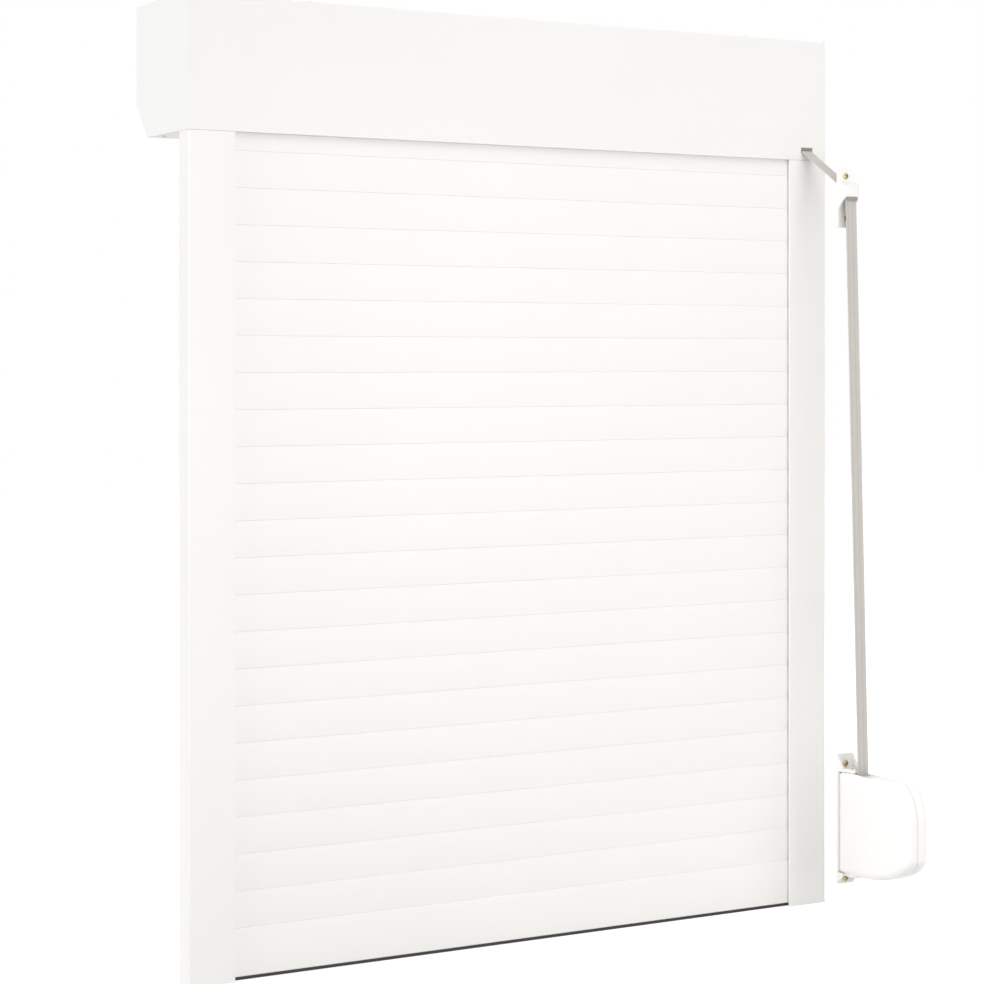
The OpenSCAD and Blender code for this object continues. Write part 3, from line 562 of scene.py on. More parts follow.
def build_draw_lines():
    """Faint lines that rolling or extruding leaves along a piece: noise stretched along one axis."""
    tree, given, out = new_group(
        "draw_lines", [("Along", (1.0, 1.0, 1.0, 1.0)), ("Scale", 260.0)], [("Lines", "Float")])
    where = add(tree, "TexCoord").outputs["Object"]
    stretch = add(tree, "VectorMath", {0: where, 1: given.outputs[0]}, operation="MULTIPLY").outputs[0]
    tree.links.new(noise(tree, stretch, given.outputs[1], 3.0, 0.6), out.inputs[0])
    return tree


def build_edge_rub():
    """Mask of the rubbed edges: how far a rounded normal leaves the true one, broken up by noise."""
    tree, given, out = new_group("edge_rub", [("Reach", 0.0012), ("Scale", 140.0)], [("Mask", "Float")])
    round_normal = add(tree, "Bevel", {"Radius": given.outputs[0]}, samples=4).outputs[0]
    true_normal = add(tree, "NewGeometry").outputs["Normal"]
    both = {0: round_normal, 1: true_normal}
    cosine = add(tree, "VectorMath", both, operation="DOT_PRODUCT").outputs["Value"]
    turn = math_node(tree, "SUBTRACT", 1.0, cosine)
    where = add(tree, "TexCoord").outputs["Object"]
    patch = noise(tree, where, given.outputs[1], 3.0, 0.5)
    mask = math_node(tree, "MULTIPLY", math_node(tree, "MULTIPLY", turn, 4.0, True), patch, True)
    tree.links.new(mask, out.inputs[0])
    return tree


def build_weave():
    """Plain weave on a band whose UV map is in metres, across and along.

    Weft picks are a sine along the band, shifted by half a pick on every second warp rib, so that the
    threads pass over and under by turns. Every fourth rib has a darker dyed stripe, made stronger in the
    weave's low spots as painted shade.
    """
    tree, given, out = new_group(
        "weave", [("Rib", 0.0016), ("Pick", 0.0011)],
        [("Height", "Float"), ("Stripe", "Float"), ("Fuzz", "Float")])
    uv = add(tree, "UVMap", uv_map="band").outputs[0]
    part = add(tree, "SeparateXYZ", {0: uv})
    across = math_node(tree, "DIVIDE", part.outputs[0], given.outputs[0])
    along = math_node(tree, "DIVIDE", part.outputs[1], given.outputs[1])
    odd = math_node(tree, "MODULO", math_node(tree, "FLOOR", across), 2.0)
    shifted = math_node(tree, "ADD", along, math_node(tree, "MULTIPLY", odd, 0.5))
    pick = math_node(tree, "SINE", math_node(tree, "MULTIPLY", shifted, 2 * math.pi))
    rib = math_node(tree, "ABSOLUTE", math_node(tree, "SINE", math_node(tree, "MULTIPLY", across, math.pi)))
    height = math_node(tree, "MULTIPLY", math_node(tree, "ADD", pick, 1.0), rib)
    in_four = math_node(tree, "MODULO", math_node(tree, "FLOOR", math_node(tree, "ADD", across, 16.0)), 4.0)
    off = math_node(tree, "ABSOLUTE", math_node(tree, "SUBTRACT", in_four, 1.0))
    dark = math_node(tree, "LESS_THAN", off, 0.5)
    # The stripe is dye; its strength grows in the weave's low spots as painted shade.
    stripe = math_node(tree, "MULTIPLY", dark, spread(tree, height, 1.0, 0.55))
    stretch = add(tree, "VectorMath", {0: uv, 1: (9.0, 1.0, 1.0)}, operation="MULTIPLY").outputs[0]
    fuzz = noise(tree, stretch, 420.0, 4.0, 0.65)
    for k, value in enumerate((height, stripe, fuzz)):
        tree.links.new(value, out.inputs[k])
    return tree


def group_node(tree, name, **values):
    """Places a shared group in a material, with its own values."""
    node = tree.nodes.new("ShaderNodeGroup")
    node.node_tree = bpy.data.node_groups[name]
    for key, value in values.items():
        node.inputs[key.replace("_", " ")].default_value = value
    return node


def new_material(name):
    """A material with its node tree, shader and nothing linked yet."""
    material = bpy.data.materials.new(name)
    material.use_nodes = True
    return material, material.node_tree, material.node_tree.nodes["Principled BSDF"]


def bump(tree, shader, height, strength, distance):
    """Feeds a height to the shader's normal."""
    node = add(tree, "Bump", {"Height": height, "Strength": strength, "Distance": distance})
    tree.links.new(node.outputs[0], shader.inputs["Normal"])


def tint(rgb, factor):
    """A colour made darker or lighter by a factor."""
    return tuple(min(1.0, c * factor) for c in rgb)


def coat_material(name, rgb, along, rough, grain=900.0, peel=0.00006):
    """Baked coat: a slow change of tone, faint draw lines along the piece, orange peel and rubbed edges."""
    material, tree, shader = new_material(name)
    coat = group_node(tree, "coat_grain", Scale=grain)
    lines = group_node(tree, "draw_lines", Along=(*along, 1.0))
    rub = group_node(tree, "edge_rub")
    base = blend_colour(tree, coat.outputs["Tone"], tint(rgb, 0.972), tint(rgb, 1.018))
    lined = blend_colour(tree, math_node(tree, "MULTIPLY", lines.outputs[0], 0.05), base, tint(rgb, 0.8))
    worn = blend_colour(tree, math_node(tree, "MULTIPLY", rub.outputs[0], 0.22), lined, tint(rgb, 0.72))
    tree.links.new(worn, shader.inputs["Base Color"])
    gloss = math_node(tree, "MULTIPLY", math_node(tree, "ADD", coat.outputs["Tone"], lines.outputs[0]), 0.5)
    tree.links.new(spread(tree, gloss, rough - 0.07, rough + 0.07), shader.inputs["Roughness"])
    bump(tree, shader, coat.outputs["Height"], 0.35, peel)
    return material


def metal_material(name, rgb, along, rough, grime):
    """Bare metal: brushed or drawn lines, stains in slow patches and brighter rubbed edges."""
    material, tree, shader = new_material(name)
    lines = group_node(tree, "draw_lines", Along=(*along, 1.0), Scale=420.0)
    coat = group_node(tree, "coat_grain", Scale=1400.0, Tone_scale=60.0)
    rub = group_node(tree, "edge_rub", Reach=0.0008)
    base = blend_colour(tree, math_node(tree, "MULTIPLY", coat.outputs["Tone"], grime), rgb, tint(rgb, 0.45))
    bright = blend_colour(tree, rub.outputs[0], base, tint(rgb, 1.2))
    tree.links.new(bright, shader.inputs["Base Color"])
    tree.links.new(spread(tree, lines.outputs[0], rough - 0.1, rough + 0.14), shader.inputs["Roughness"])
    shader.inputs["Metallic"].default_value = 1.0
    bump(tree, shader, lines.outputs[0], 0.25, 0.00004)
    return material


def dull_material(name, rgb, rough, grain, depth):
    """Rubber, dark plastic or pile: a speckled ground with a matt grain and dust in its hollows."""
    material, tree, shader = new_material(name)
    coat = group_node(tree, "coat_grain", Scale=grain, Tone_scale=35.0)
    dust = math_node(tree, "MULTIPLY", coat.outputs["Tone"], coat.outputs["Height"])
    base = blend_colour(tree, dust, tint(rgb, 0.8), tint(rgb, 1.7))
    tree.links.new(base, shader.inputs["Base Color"])
    matt = spread(tree, coat.outputs["Height"], rough - 0.08, rough + 0.1)
    tree.links.new(matt, shader.inputs["Roughness"])
    bump(tree, shader, coat.outputs["Height"], 0.5, depth)
    return material


def webbing_material(name, ground, stripe):
    """Woven strap: picks and ribs from the weave, darker stripes, fuzz, painted shade in the weave's low
    spots and a soft sheen.
    """
    material, tree, shader = new_material(name)
    weave = group_node(tree, "weave")
    base = blend_colour(tree, math_node(tree, "MULTIPLY", weave.outputs["Stripe"], 0.75), ground, stripe)
    hairs = math_node(tree, "MULTIPLY", weave.outputs["Fuzz"], 0.4)
    fuzzy = blend_colour(tree, hairs, base, tint(ground, 1.35))
    # Painted shade: the weave's low spots are darkened towards a deeper tone of the stripe.
    deep = blend_colour(tree, spread(tree, weave.outputs["Height"], 0.4, 0.0), fuzzy, tint(stripe, 0.6))
    tree.links.new(deep, shader.inputs["Base Color"])
    tree.links.new(spread(tree, weave.outputs["Fuzz"], 0.72, 0.95), shader.inputs["Roughness"])
    shader.inputs["Sheen Weight"].default_value = 0.25
    shader.inputs["Sheen Roughness"].default_value = 0.5
    bump(tree, shader, weave.outputs["Height"], 0.6, 0.00018)
    return material


MATERIALS = {}


class SHUTTER_OT_finishes(bpy.types.Operator):
    """Build the shared node groups and the finishes of all the pieces"""

    bl_idname = "shutter.finishes"
    bl_label = "Finishes"

    def execute(self, context):
        f = context.scene.shutter_finishes
        for build in (build_coat_grain, build_draw_lines, build_edge_rub, build_weave):
            build()
        along_x, along_z, even = (0.02, 1.0, 1.0), (1.0, 1.0, 0.02), (0.4, 0.4, 0.4)
        MATERIALS.update(
            sheet=coat_material("coated_sheet", tuple(f.coat), along_x, 0.36),
            rail=coat_material("coated_rail", tuple(f.rail), along_z, 0.38),
            slat=coat_material("coated_slat", tuple(f.slat), along_x, 0.4),
            cap=coat_material("cast_cap", tuple(f.cap), even, 0.44, 1300.0, 0.00012),
            moulded=coat_material("moulded_white", tuple(f.moulded), even, 0.3, 1600.0, 0.00005),
            rubber=dull_material("black_rubber", tuple(f.rubber), 0.62, 1500.0, 0.0001),
            dark=dull_material("dark_plastic", tuple(f.dark), 0.5, 1100.0, 0.00008),
            # Dark pile of the brushes, in the tone of the shade under the guide's hood and in the strap
            # slot: painted shade.
            pile=dull_material("brush_pile", tuple(f.pile), 0.9, 2600.0, 0.0004),
            strip=dull_material("pile_strip", tuple(f.strip), 0.9, 2600.0, 0.0004),
            webbing=webbing_material("strap_webbing", tuple(f.webbing), tuple(f.stripe)),
            brass=metal_material("screw_brass", tuple(f.brass), even, 0.3, 0.4),
            steel=metal_material("bright_steel", tuple(f.steel), along_x, 0.34, 0.5),
        )
        return {"FINISHED"}


class SHUTTER_OT_box(bpy.types.Operator):
    """Bend the box's front and top panel with its strap slot, and the outdoor cover"""

    bl_idname = "shutter.box"
    bl_label = "Box panels"
    LIP_ROOT, LIP_EDGE = 0.05 * MM, 0.6 * MM
    COVER_GAP = 0.4 * MM
    FLANGE_TOP = 9 * MM
    HEM_GAP, HEM_LAP, HEM_TOP = 0.2 * MM, 4 * MM, 0.5 * MM

    def execute(self, context):
        b = context.scene.shutter_box
        mid = b.sheet / 2
        far = b.side - mid
        panel = rounded_path(
            [(mid, 0), (mid, b.slot_z0), (mid, b.slot_z1), (mid, far), (far, far), (far, b.side - b.drip)],
            [0, 0, b.bend, b.bend])
        shell = self.slotted(sheet_loop(panel, b.sheet), (-b.half, b.slot_x0, b.slot_x1, b.half))
        lip = rounded_loop([(b.sheet, 0), (b.lip_y, 0), (b.lip_y, b.sheet), (b.sheet, b.sheet)],
                           [self.LIP_ROOT, self.LIP_EDGE, self.LIP_EDGE, self.LIP_ROOT], 4)
        inner = prism_mesh([lip], -b.lip_half, b.lip_half, "X")
        front = make_piece("front_panel", *join_meshes([shell, inner]))
        settle(front, "frame", "coated_sheet", MATERIALS["sheet"], "box_shell")

        foot = b.side - b.cham_y - mid * (math.hypot(b.cham_y, b.cham_z) - b.cham_y) / b.cham_z
        knee = b.cham_z + mid * (math.hypot(b.cham_y, b.cham_z) - b.cham_z) / b.cham_y
        top = b.side - b.drip - self.COVER_GAP
        line = rounded_path([(b.cover_y, mid), (foot, mid), (far, knee), (far, top)], [b.bend, b.bend])
        flange = np.array([(b.cover_y + mid, b.sheet), (b.cover_y + mid, self.FLANGE_TOP)])
        hem_y = far - b.sheet - self.HEM_GAP
        hem = np.array([(hem_y, top - self.HEM_LAP), (hem_y, b.side - b.sheet - self.HEM_TOP)])
        cover = make_piece("outdoor_cover", *join_meshes([
            prism_mesh([sheet_loop(path, b.sheet)], -half, half, "X")
            for path, half in ((line, b.half), (flange, b.flange), (hem, b.hem))]))
        settle(cover, "frame", "coated_sheet", MATERIALS["sheet"], "box_cover")
        dress(MATERIALS["sheet"], "cover_screws")
        return {"FINISHED"}

    def slotted(self, loop, stations):
        """A section carried through four stations along X, with a slot between the middle ones.

        The slot lies in the section's second leg. Its faces are left out on both skins, and four quads
        line it.
        """
        n = len(loop)
        points = np.concatenate([place(loop, x, "X") for x in stations])
        quads = grid_faces(4, n, False, True).reshape(3, n, 4)
        keep = np.ones((3, n), bool)
        inner = n - 3
        keep[1, 1] = keep[1, inner] = False
        faces = quads[keep].tolist()
        a, c = n + 1, 2 * n + 1
        d, e = n + inner + 1, 2 * n + inner + 1
        faces += [[a, c, e, d], [a + 1, d - 1, e - 1, c + 1], [a, d, d - 1, a + 1], [c, c + 1, e - 1, e]]
        fill = np.array(tessellate_polygon([[Vector((p[0], p[1], 0)) for p in loop]]))
        faces += fill.tolist() + (fill[:, ::-1] + 3 * n).tolist()
        return points, faces


class SHUTTER_OT_caps(bpy.types.Operator):
    """Round the edges of the two end caps"""

    bl_idname = "shutter.caps"
    bl_label = "End caps"

    def execute(self, context):
        edge = context.scene.shutter_box.cap_edge
        for side in ("left", "right"):
            cap = softened(f"end_cap_{side}", f"box_cap_{side}", edge)
            settle(cap, "frame", "cap_white", MATERIALS["cap"], f"end_cap_{side}")
        return {"FINISHED"}


class SHUTTER_OT_roller(bpy.types.Operator):
    """Finish the roller tube, its disc, its bearings and the hangers"""

    bl_idname = "shutter.roller"
    bl_label = "Roller"

    def execute(self, context):
        dress(MATERIALS["steel"], "tube", "axle_pins", "bearings", "hangers")
        dress(MATERIALS["dark"], "tube_plug", "strap_disc")
        return {"FINISHED"}


class SHUTTER_OT_rails(bpy.types.Operator):
    """Extrude the two guide rails, and lay the pile strips into their channels"""

    bl_idname = "shutter.rails"
    bl_label = "Guide rails"
    INNER_EDGE = 0.5 * MM
    STRIP_END, STRIP_STATIONS = 0.2 * MM, 420
    STRIP_JITTER = 0.05

    def execute(self, context):
        r = context.scene.shutter_rails
        for side, sign in (("left", -1), ("right", 1)):
            rail = prism(f"guide_rail_{side}", self.section(r, sign), -r.drop, -r.joint, "Z")
            settle(rail, "frame", "coated_rail", MATERIALS["rail"], f"rail_{side}")
        strips = [self.pile_strip(r, sign, face, k)
                  for k, (sign, face) in enumerate(((-1, -1), (-1, 1), (1, -1), (1, 1)))]
        seals = make_piece("pile_strips", *join_meshes(strips))
        settle(seals, "frame", "pile_grey", MATERIALS["strip"], "rail_seals")
        dress(MATERIALS["moulded"], "rail_inlets")
        dress(MATERIALS["dark"], "rail_plugs")
        return {"FINISHED"}

    def section(self, r, sign):
        """Outline of a rail with its channel, and its two hollows, as corner points with arcs.

        Each point is given from the rail's outer edge inwards and from its face backwards.
        """
        lip0, lip1 = r.lip, r.lip + r.mouth
        deep = r.width - r.channel
        outer = [(0, 0), (r.width, 0), (r.width, lip0), (deep, lip0), (deep, lip1), (r.width, lip1),
                 (r.width, r.depth), (0, r.depth)]
        right, back = r.width - r.wall, r.depth - r.wall
        hollow = [(r.wall, r.wall), (deep - r.wall, r.wall), (deep - r.wall, back), (r.wall, back)]
        behind = [(deep, lip1 + r.bed), (right, lip1 + r.bed), (right, back), (deep, back)]
        e, s = r.edge, self.INNER_EDGE
        loops = [rounded_loop(outer, [e, s, s, s, s, s, e, e]), rounded_loop(hollow, [s] * 4, 4),
                 rounded_loop(behind, [s] * 4, 4)]
        return [np.c_[sign * (r.half - loop[:, 0]), loop[:, 1]] for loop in loops]

    def pile_strip(self, r, sign, face, k):
        """Pile strip: a ridge carried down the rail, whose tip wanders from station to station."""
        rng = np.random.default_rng(SEED + k)
        z = np.linspace(-r.drop + self.STRIP_END, -self.STRIP_END, self.STRIP_STATIONS)
        across = np.array([-1.1, -1.0, -0.5, 0.1, 0.6, 1.0, 1.1]) * MM
        up = np.array([0.0, 0.7, 0.92, 1.0, 0.9, 0.72, 0.0]) * r.pile
        jitter = rng.normal(0, self.STRIP_JITTER, (len(z), len(up))) * MM * (up > 0)
        x = sign * (r.half - r.width + r.pile_in) + across[None] + jitter[:, ::-1]
        y = r.lip + r.mouth / 2 + face * (r.mouth / 2 - up[None] - np.abs(jitter))
        points = np.stack(np.broadcast_arrays(x, y, z[:, None]), -1)
        return points, tube_faces(len(z), len(up))


class SHUTTER_OT_curtain(bpy.types.Operator):
    """Roll the hollow slats, the bottom slat, its rubber seal and its stops"""

    bl_idname = "shutter.curtain"
    bl_label = "Curtain"
    BEAD_STAND = 1.2 * MM
    PLAY = 0.35 * MM
    ROOM_EDGE = 0.6 * MM
    BAR_EDGE, BAR_WALL = 1.2 * MM, 1.4 * MM
    BAR_SOLID, BAR_ROOM_EDGE = 9 * MM, 0.8 * MM
    GROOVE_PLAY = 0.15 * MM
    SEAL_INSET, SEAL_EDGE, SEAL_SHOULDER, SEAL_SOLE = 0.3 * MM, 1.4 * MM, 0.4 * MM, 1.2 * MM
    STOP_SIDES = 40
    STOP_BACK, STOP_TAPER, STOP_HOLE, STOP_SINK = 1.0 * MM, 2 * MM, 2.2 * MM, 4 * MM
    STOP_FLOOR, STOP_POLE = 1.6 * MM, 0.1 * MM

    def execute(self, context):
        c = context.scene.shutter_curtain
        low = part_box("end_slat")[0][2]
        first = FLOOR_Z + c.end_height
        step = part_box(SLATS[1])[0][2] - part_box(SLATS[0])[0][2]
        loops = self.slat_section(c, step)
        for i, node in enumerate(SLATS):
            moved = [loop + (c.middle, first + i * step) for loop in loops]
            slat = prism(node.replace("slat", "curtain_slat"), moved, -c.half, c.half)
            settle(slat, "curtain", "slat_white", MATERIALS["slat"], node)
            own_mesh(slat)
        height = c.end_height - c.seal - c.gap / 2
        moved = [loop + (c.middle, low) for loop in self.end_section(c, height)]
        bottom = prism("bottom_slat", moved, -c.half, c.half)
        settle(bottom, "curtain", "end_white", MATERIALS["slat"], "end_slat")
        seal = prism("rubber_seal", [self.seal_section(c) + (c.middle, low)], -c.half, c.half)
        settle(seal, "curtain", "black_rubber", MATERIALS["rubber"], "bottom_seal")
        stops = make_piece("rubber_stops", *join_meshes([self.stop(c, s) for s in (-1, 1)]), smooth=40)
        settle(stops, "curtain", "dark_plastic", MATERIALS["rubber"], "end_stops")
        return {"FINISHED"}

    def bead(self, c, base):
        """Neck and bead on top of a slat, from its back side to its front: a circle closed onto a neck."""
        up = c.bead + self.BEAD_STAND
        low = math.degrees(math.asin(math.sqrt(c.bead ** 2 - (c.neck / 2) ** 2) / c.bead))
        ring = arc((0, base + up), c.bead, -low, 180 + low, 20)
        return np.concatenate([[(c.neck / 2, base - c.gap / 2)], ring, [(-c.neck / 2, base - c.gap / 2)]])

    def slat_section(self, c, step):
        """Section of a slat: crowned faces, a keyhole slot below, a bead above and three rooms.

        A face stands out from half the thickness less the crown, by the crown times 1 - t squared, where t
        runs from -1 to 1 over the slat's height. Its ends are quarter circles.
        """
        z0, z1 = c.gap / 2, step - c.gap / 2
        t = np.linspace(-1, 1, 25)
        z = step / 2 + t * (step / 2 - c.gap / 2 - c.edge)
        y = c.thick / 2 - c.crown + c.crown * (1 - t ** 2)
        edge = y[0]
        low = arc((edge - c.edge, z0 + c.edge), c.edge, -90, 0, 6)[:-1]
        high = arc((edge - c.edge, z1 - c.edge), c.edge, 0, 90, 6)[1:]
        back = np.concatenate([low, np.c_[y, z], high])
        front = back[::-1] * (-1, 1)
        key = c.bead + self.PLAY
        half = c.neck / 2 + self.PLAY
        up = c.bead + self.BEAD_STAND
        tip = math.degrees(math.asin(math.sqrt(key ** 2 - half ** 2) / key))
        slot = np.concatenate([[(-half, z0)], arc((0, up), key, 180 + tip, -tip, 20), [(half, z0)]])
        outer = np.concatenate([slot, back, self.bead(c, step), front])
        floor = up + key + c.wall
        room = (z1 - floor - 2 * c.wall - 2.4 * c.wall) / 3
        wide = c.thick / 2 - c.wall - c.crown
        rooms = [self.room(wide, a, a + room, self.ROOM_EDGE)
                 for a in floor + np.arange(3) * (room + c.wall)]
        return [outer] + rooms

    def room(self, wide, low, high, edge):
        """Outline of a hollow: a rectangle with rounded corners."""
        return rounded_loop([(-wide, low), (wide, low), (wide, high), (-wide, high)], [edge] * 4, 4)

    def end_section(self, c, height):
        """Section of the bottom slat: a rounded bar with the groove of the seal, a bead above and one room.

        The groove is a T, widened by its play.
        """
        e = c.thick / 2
        r = self.BAR_EDGE
        tee = np.array([(1.2, 0), (1.2, 2), (2.4, 2), (2.4, 4)]) * MM + (self.GROOVE_PLAY, 0)
        groove = np.concatenate([tee * (-1, 1), tee[::-1]])
        right = np.concatenate([arc((e - r, r), r, -90, 0, 6), arc((e - r, height - r), r, 0, 90, 6)])
        outer = np.concatenate([groove, right, self.bead(c, height + c.gap / 2), right[::-1] * (-1, 1)])
        top = height - self.BAR_SOLID
        return [outer, self.room(e - self.BAR_WALL, self.BAR_SOLID, top, self.BAR_ROOM_EDGE)]

    def seal_section(self, c):
        """Section of the seal: a rounded foot with a hollow sole, and a T that sits in the bottom slat."""
        e = c.thick / 2 - self.SEAL_INSET
        r = self.SEAL_EDGE
        right = np.concatenate([
            np.array([(2.3, 3.9), (2.3, 2.1), (1.2, 2.1), (1.2, 0)]) * MM,
            [(e - self.SEAL_SHOULDER, 0)],
            arc((e - r, -c.seal + r), r, 0, -90, 6),
            arc((0, -c.seal), self.SEAL_SOLE, 0, 90, 8)])
        return np.concatenate([right, right[-2::-1] * (-1, 1)])

    def stop(self, c, sign):
        """A buffer: a profile of radius over length turned about an axis across the curtain.

        It tapers, has a sunk hole for its screw in the tip and is closed at both ends.
        """
        near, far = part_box("end_stops")
        y0, y1 = near[1], far[1]
        x, z = sign * (far[0] - c.stop), far[2] - c.stop
        sunk = y1 - self.STOP_SINK
        line = rounded_path([(self.STOP_BACK, y0), (c.stop, y0), (c.stop - self.STOP_TAPER, y1),
                             (self.STOP_HOLE, y1), (self.STOP_FLOOR, sunk), (self.STOP_POLE, sunk)],
                            [0.4 * MM, 1.4 * MM, 0.5 * MM, 0.3 * MM], 5)
        a = np.linspace(0, 2 * math.pi, self.STOP_SIDES + 1)[:-1, None]
        points = np.stack(np.broadcast_arrays(
            x + line[None, :, 0] * np.cos(a), line[None, :, 1], z + line[None, :, 0] * np.sin(a)), -1)
        return points, turned_faces(self.STOP_SIDES, len(line))


class SHUTTER_OT_strap(bpy.types.Operator):
    """Weave the strap: from the disc over the sill and the guide roller to the winder and its spool"""

    bl_idname = "shutter.strap"
    bl_label = "Strap"
    EDGE = 0.35 * MM
    UV_SHIFT = 0.02

    def execute(self, context):
        s = context.scene.shutter_strap
        disc, spool = middle_of("disc_strap"), middle_of("spool_strap")
        leave_sill, bend = np.array((s.exit_y, s.exit_z)), np.array((s.bend_y, s.bend_z))
        mouth = np.array((s.mouth_y, end_of("winder_case_left", 2, 1)))
        leave = bend + (mouth - bend) / np.linalg.norm(mouth - bend) * s.below
        wound = {node: (end_of(node, 2, 1) - end_of(node, 2, 0)) / 2
                 for node in ("disc_strap", "spool_strap")}
        room = s.loose + s.thick / 2
        start = self.touch(leave_sill, disc, wound["disc_strap"] + room, -1)
        end = self.touch(mouth, spool, wound["spool_strap"] + room, 1)
        upper = rounded_path([start, leave_sill, bend, leave], [s.sill, s.roller], 14)
        run = self.carry(s, "strap_run_upper", upper, 0.0)
        settle(run, "frame", "webbing", MATERIALS["webbing"], "strap_upper")
        done = np.linalg.norm(np.diff(upper, axis=0), axis=1).sum()
        t = np.linspace(0, 1, 121)[:, None]
        lower = self.carry(s, "strap_run_lower", leave + (mouth - leave) * t, done)
        lower.data.materials.append(MATERIALS["webbing"])
        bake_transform(lower)
        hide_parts("strap_lower")
        done += np.linalg.norm(mouth - leave)
        inside = self.carry(s, "strap_run_tail", mouth + (end - mouth) * t[::8], done)
        settle(inside, "winder", "webbing", MATERIALS["webbing"], "strap_tail")
        for name, node, body, centre in (("strap_on_disc", "disc_strap", "roller", disc),
                                         ("strap_on_spool", "spool_strap", "spool", spool)):
            line = self.spiral(centre, s.core, wound[node] - s.thick * 0.6, s.thick)
            coil = self.carry(s, name, line, 0.0, ribs=False)
            settle(coil, body, "webbing", MATERIALS["webbing"], node)
        return {"FINISHED"}

    def touch(self, point, centre, radius, way):
        """Where a line from a point touches a circle.

        The line runs at asin(radius / distance) from the direction to the centre, to the side named by way.
        """
        v = centre - point
        far = np.linalg.norm(v)
        a = math.atan2(v[1], v[0]) + way * math.asin(radius / far)
        return point + math.sqrt(far ** 2 - radius ** 2) * np.array((math.cos(a), math.sin(a)))

    def spiral(self, centre, r0, r1, thick):
        """Wound strap: a radius that grows by the thickness and a little air in each turn."""
        turns = (r1 - r0) / (thick * 1.02)
        a = np.linspace(0, turns, int(turns * 56))
        r = r0 + (r1 - r0) * a / turns
        return centre + r[:, None] * np.c_[np.cos(2 * math.pi * a), np.sin(2 * math.pi * a)]

    def section(self, s, ribs):
        """Across the strap: a flat band with cosine ribs on both faces, firm selvedges and rounded edges."""
        x = np.linspace(-s.width / 2 + self.EDGE, s.width / 2 - self.EDGE, 81 if ribs else 9)
        half = s.thick / 2
        inner = s.width / 2 - s.selvedge
        wave = 0.5 + 0.5 * np.cos(2 * math.pi * s.ribs * (x + inner) / (2 * inner))
        face = half - s.rib_height * np.where(np.abs(x) < inner, 1 - wave, 0.15)
        if not ribs:
            face = np.full_like(x, half)
        edge = arc((x[-1], 0), 1.0, 60, -60, 4) - (x[-1], 0)
        right = np.c_[x[-1] + self.EDGE * edge[:, 0], half * 0.8 * edge[:, 1]]
        return np.concatenate([np.c_[x, face], right, np.c_[x, -face][::-1], right * (-1, -1)])

    def carry(self, s, name, path, start, ribs=True):
        """Carries the strap's section along a line in (Y, Z), with the way across and along as UV map."""
        ring = self.section(s, ribs)
        n = normals_along(path)
        x = s.middle + ring[None, :, 0] + 0 * path[:, :1]
        y = path[:, :1] + n[:, :1] * ring[None, :, 1]
        z = path[:, 1:] + n[:, 1:] * ring[None, :, 1]
        points = np.stack([x, y, z], -1)
        obj = make_piece(name, points, tube_faces(*points.shape[:2]), smooth=50)
        way = start + np.concatenate([[0], np.cumsum(np.linalg.norm(np.diff(path, axis=0), axis=1))])
        uv = np.stack(np.broadcast_arrays(ring[None, :, 0] + self.UV_SHIFT, way[:, None]), -1).reshape(-1, 2)
        corner = np.empty(len(obj.data.loops), np.int32)
        obj.data.loops.foreach_get("vertex_index", corner)
        obj.data.uv_layers.new(name="band").data.foreach_set("uv", uv[corner].astype(np.float32).ravel())
        return obj


class SHUTTER_OT_guide(bpy.types.Operator):
    """Finish the wall guide, its roller and the lining of the strap slot, and add dark brushes as painted
    shadow under the hood and painted shade in the strap slot
    """

    bl_idname = "shutter.guide"
    bl_label = "Strap guide"
    EDGE = 0.7 * MM
    BRUSH_THICK = 1.0 * MM
    BRUSH_STATIONS = 120
    HOOD_IN, HOOD_UP = 0.4 * MM, 0.6 * MM
    SLOT_SIDE, SLOT_IN, SLOT_CLEAR = 0.3 * MM, 0.1 * MM, 0.9 * MM
    WANDER = (0.08 * MM, 0.16 * MM)

    def execute(self, context):
        plate = softened("guide_plate", "guide_hood", self.EDGE)
        settle(plate, "frame", "moulded_white", MATERIALS["moulded"], "guide_plate")
        dress(MATERIALS["moulded"], "guide_roller")
        dress(MATERIALS["cap"], "strap_grommet")
        dress(MATERIALS["steel"], "guide_pin")
        s, b = context.scene.shutter_strap, context.scene.shutter_box
        hood_y = end_of("guide_plate", 1, 0)
        # Dark brushes as painted shade: one below the hood where its shadow falls on the strap, one in the
        # strap slot.
        for name, x, y, z in (
                ("guide_brush", (s.middle - s.width / 2, s.middle + s.width / 2),
                 hood_y + self.HOOD_IN, (s.hood_z + self.HOOD_UP, s.hood_z - s.brush)),
                ("slot_brush", (b.slot_x0 + self.SLOT_SIDE, b.slot_x1 - self.SLOT_SIDE),
                 b.sheet + self.SLOT_IN, (b.slot_z1, s.exit_z + self.SLOT_CLEAR))):
            bristles = self.brush(x, (y, y + self.BRUSH_THICK), z)
            settle(make_piece(name, *bristles), "frame", "pile_grey", MATERIALS["pile"])
        return {"FINISHED"}

    def brush(self, x, y, z):
        """Dark bristles that stand for shade: a flat loop carried along X, whose tips and faces wander from
        station to station.
        """
        rng = np.random.default_rng(SEED)
        across = np.linspace(*x, self.BRUSH_STATIONS)
        ring = np.array([(y[0], z[0]), (y[0], z[1]), (sum(y) / 2, z[1]), (y[1], z[1]), (y[1], z[0])])
        wander = rng.uniform(-1, 1, (len(across), len(ring), 2)) * self.WANDER
        wander[:, [0, -1]] = 0
        points = np.concatenate([np.tile(across[:, None, None], (1, len(ring), 1)), ring[None] + wander], -1)
        return points, tube_faces(len(across), len(ring))


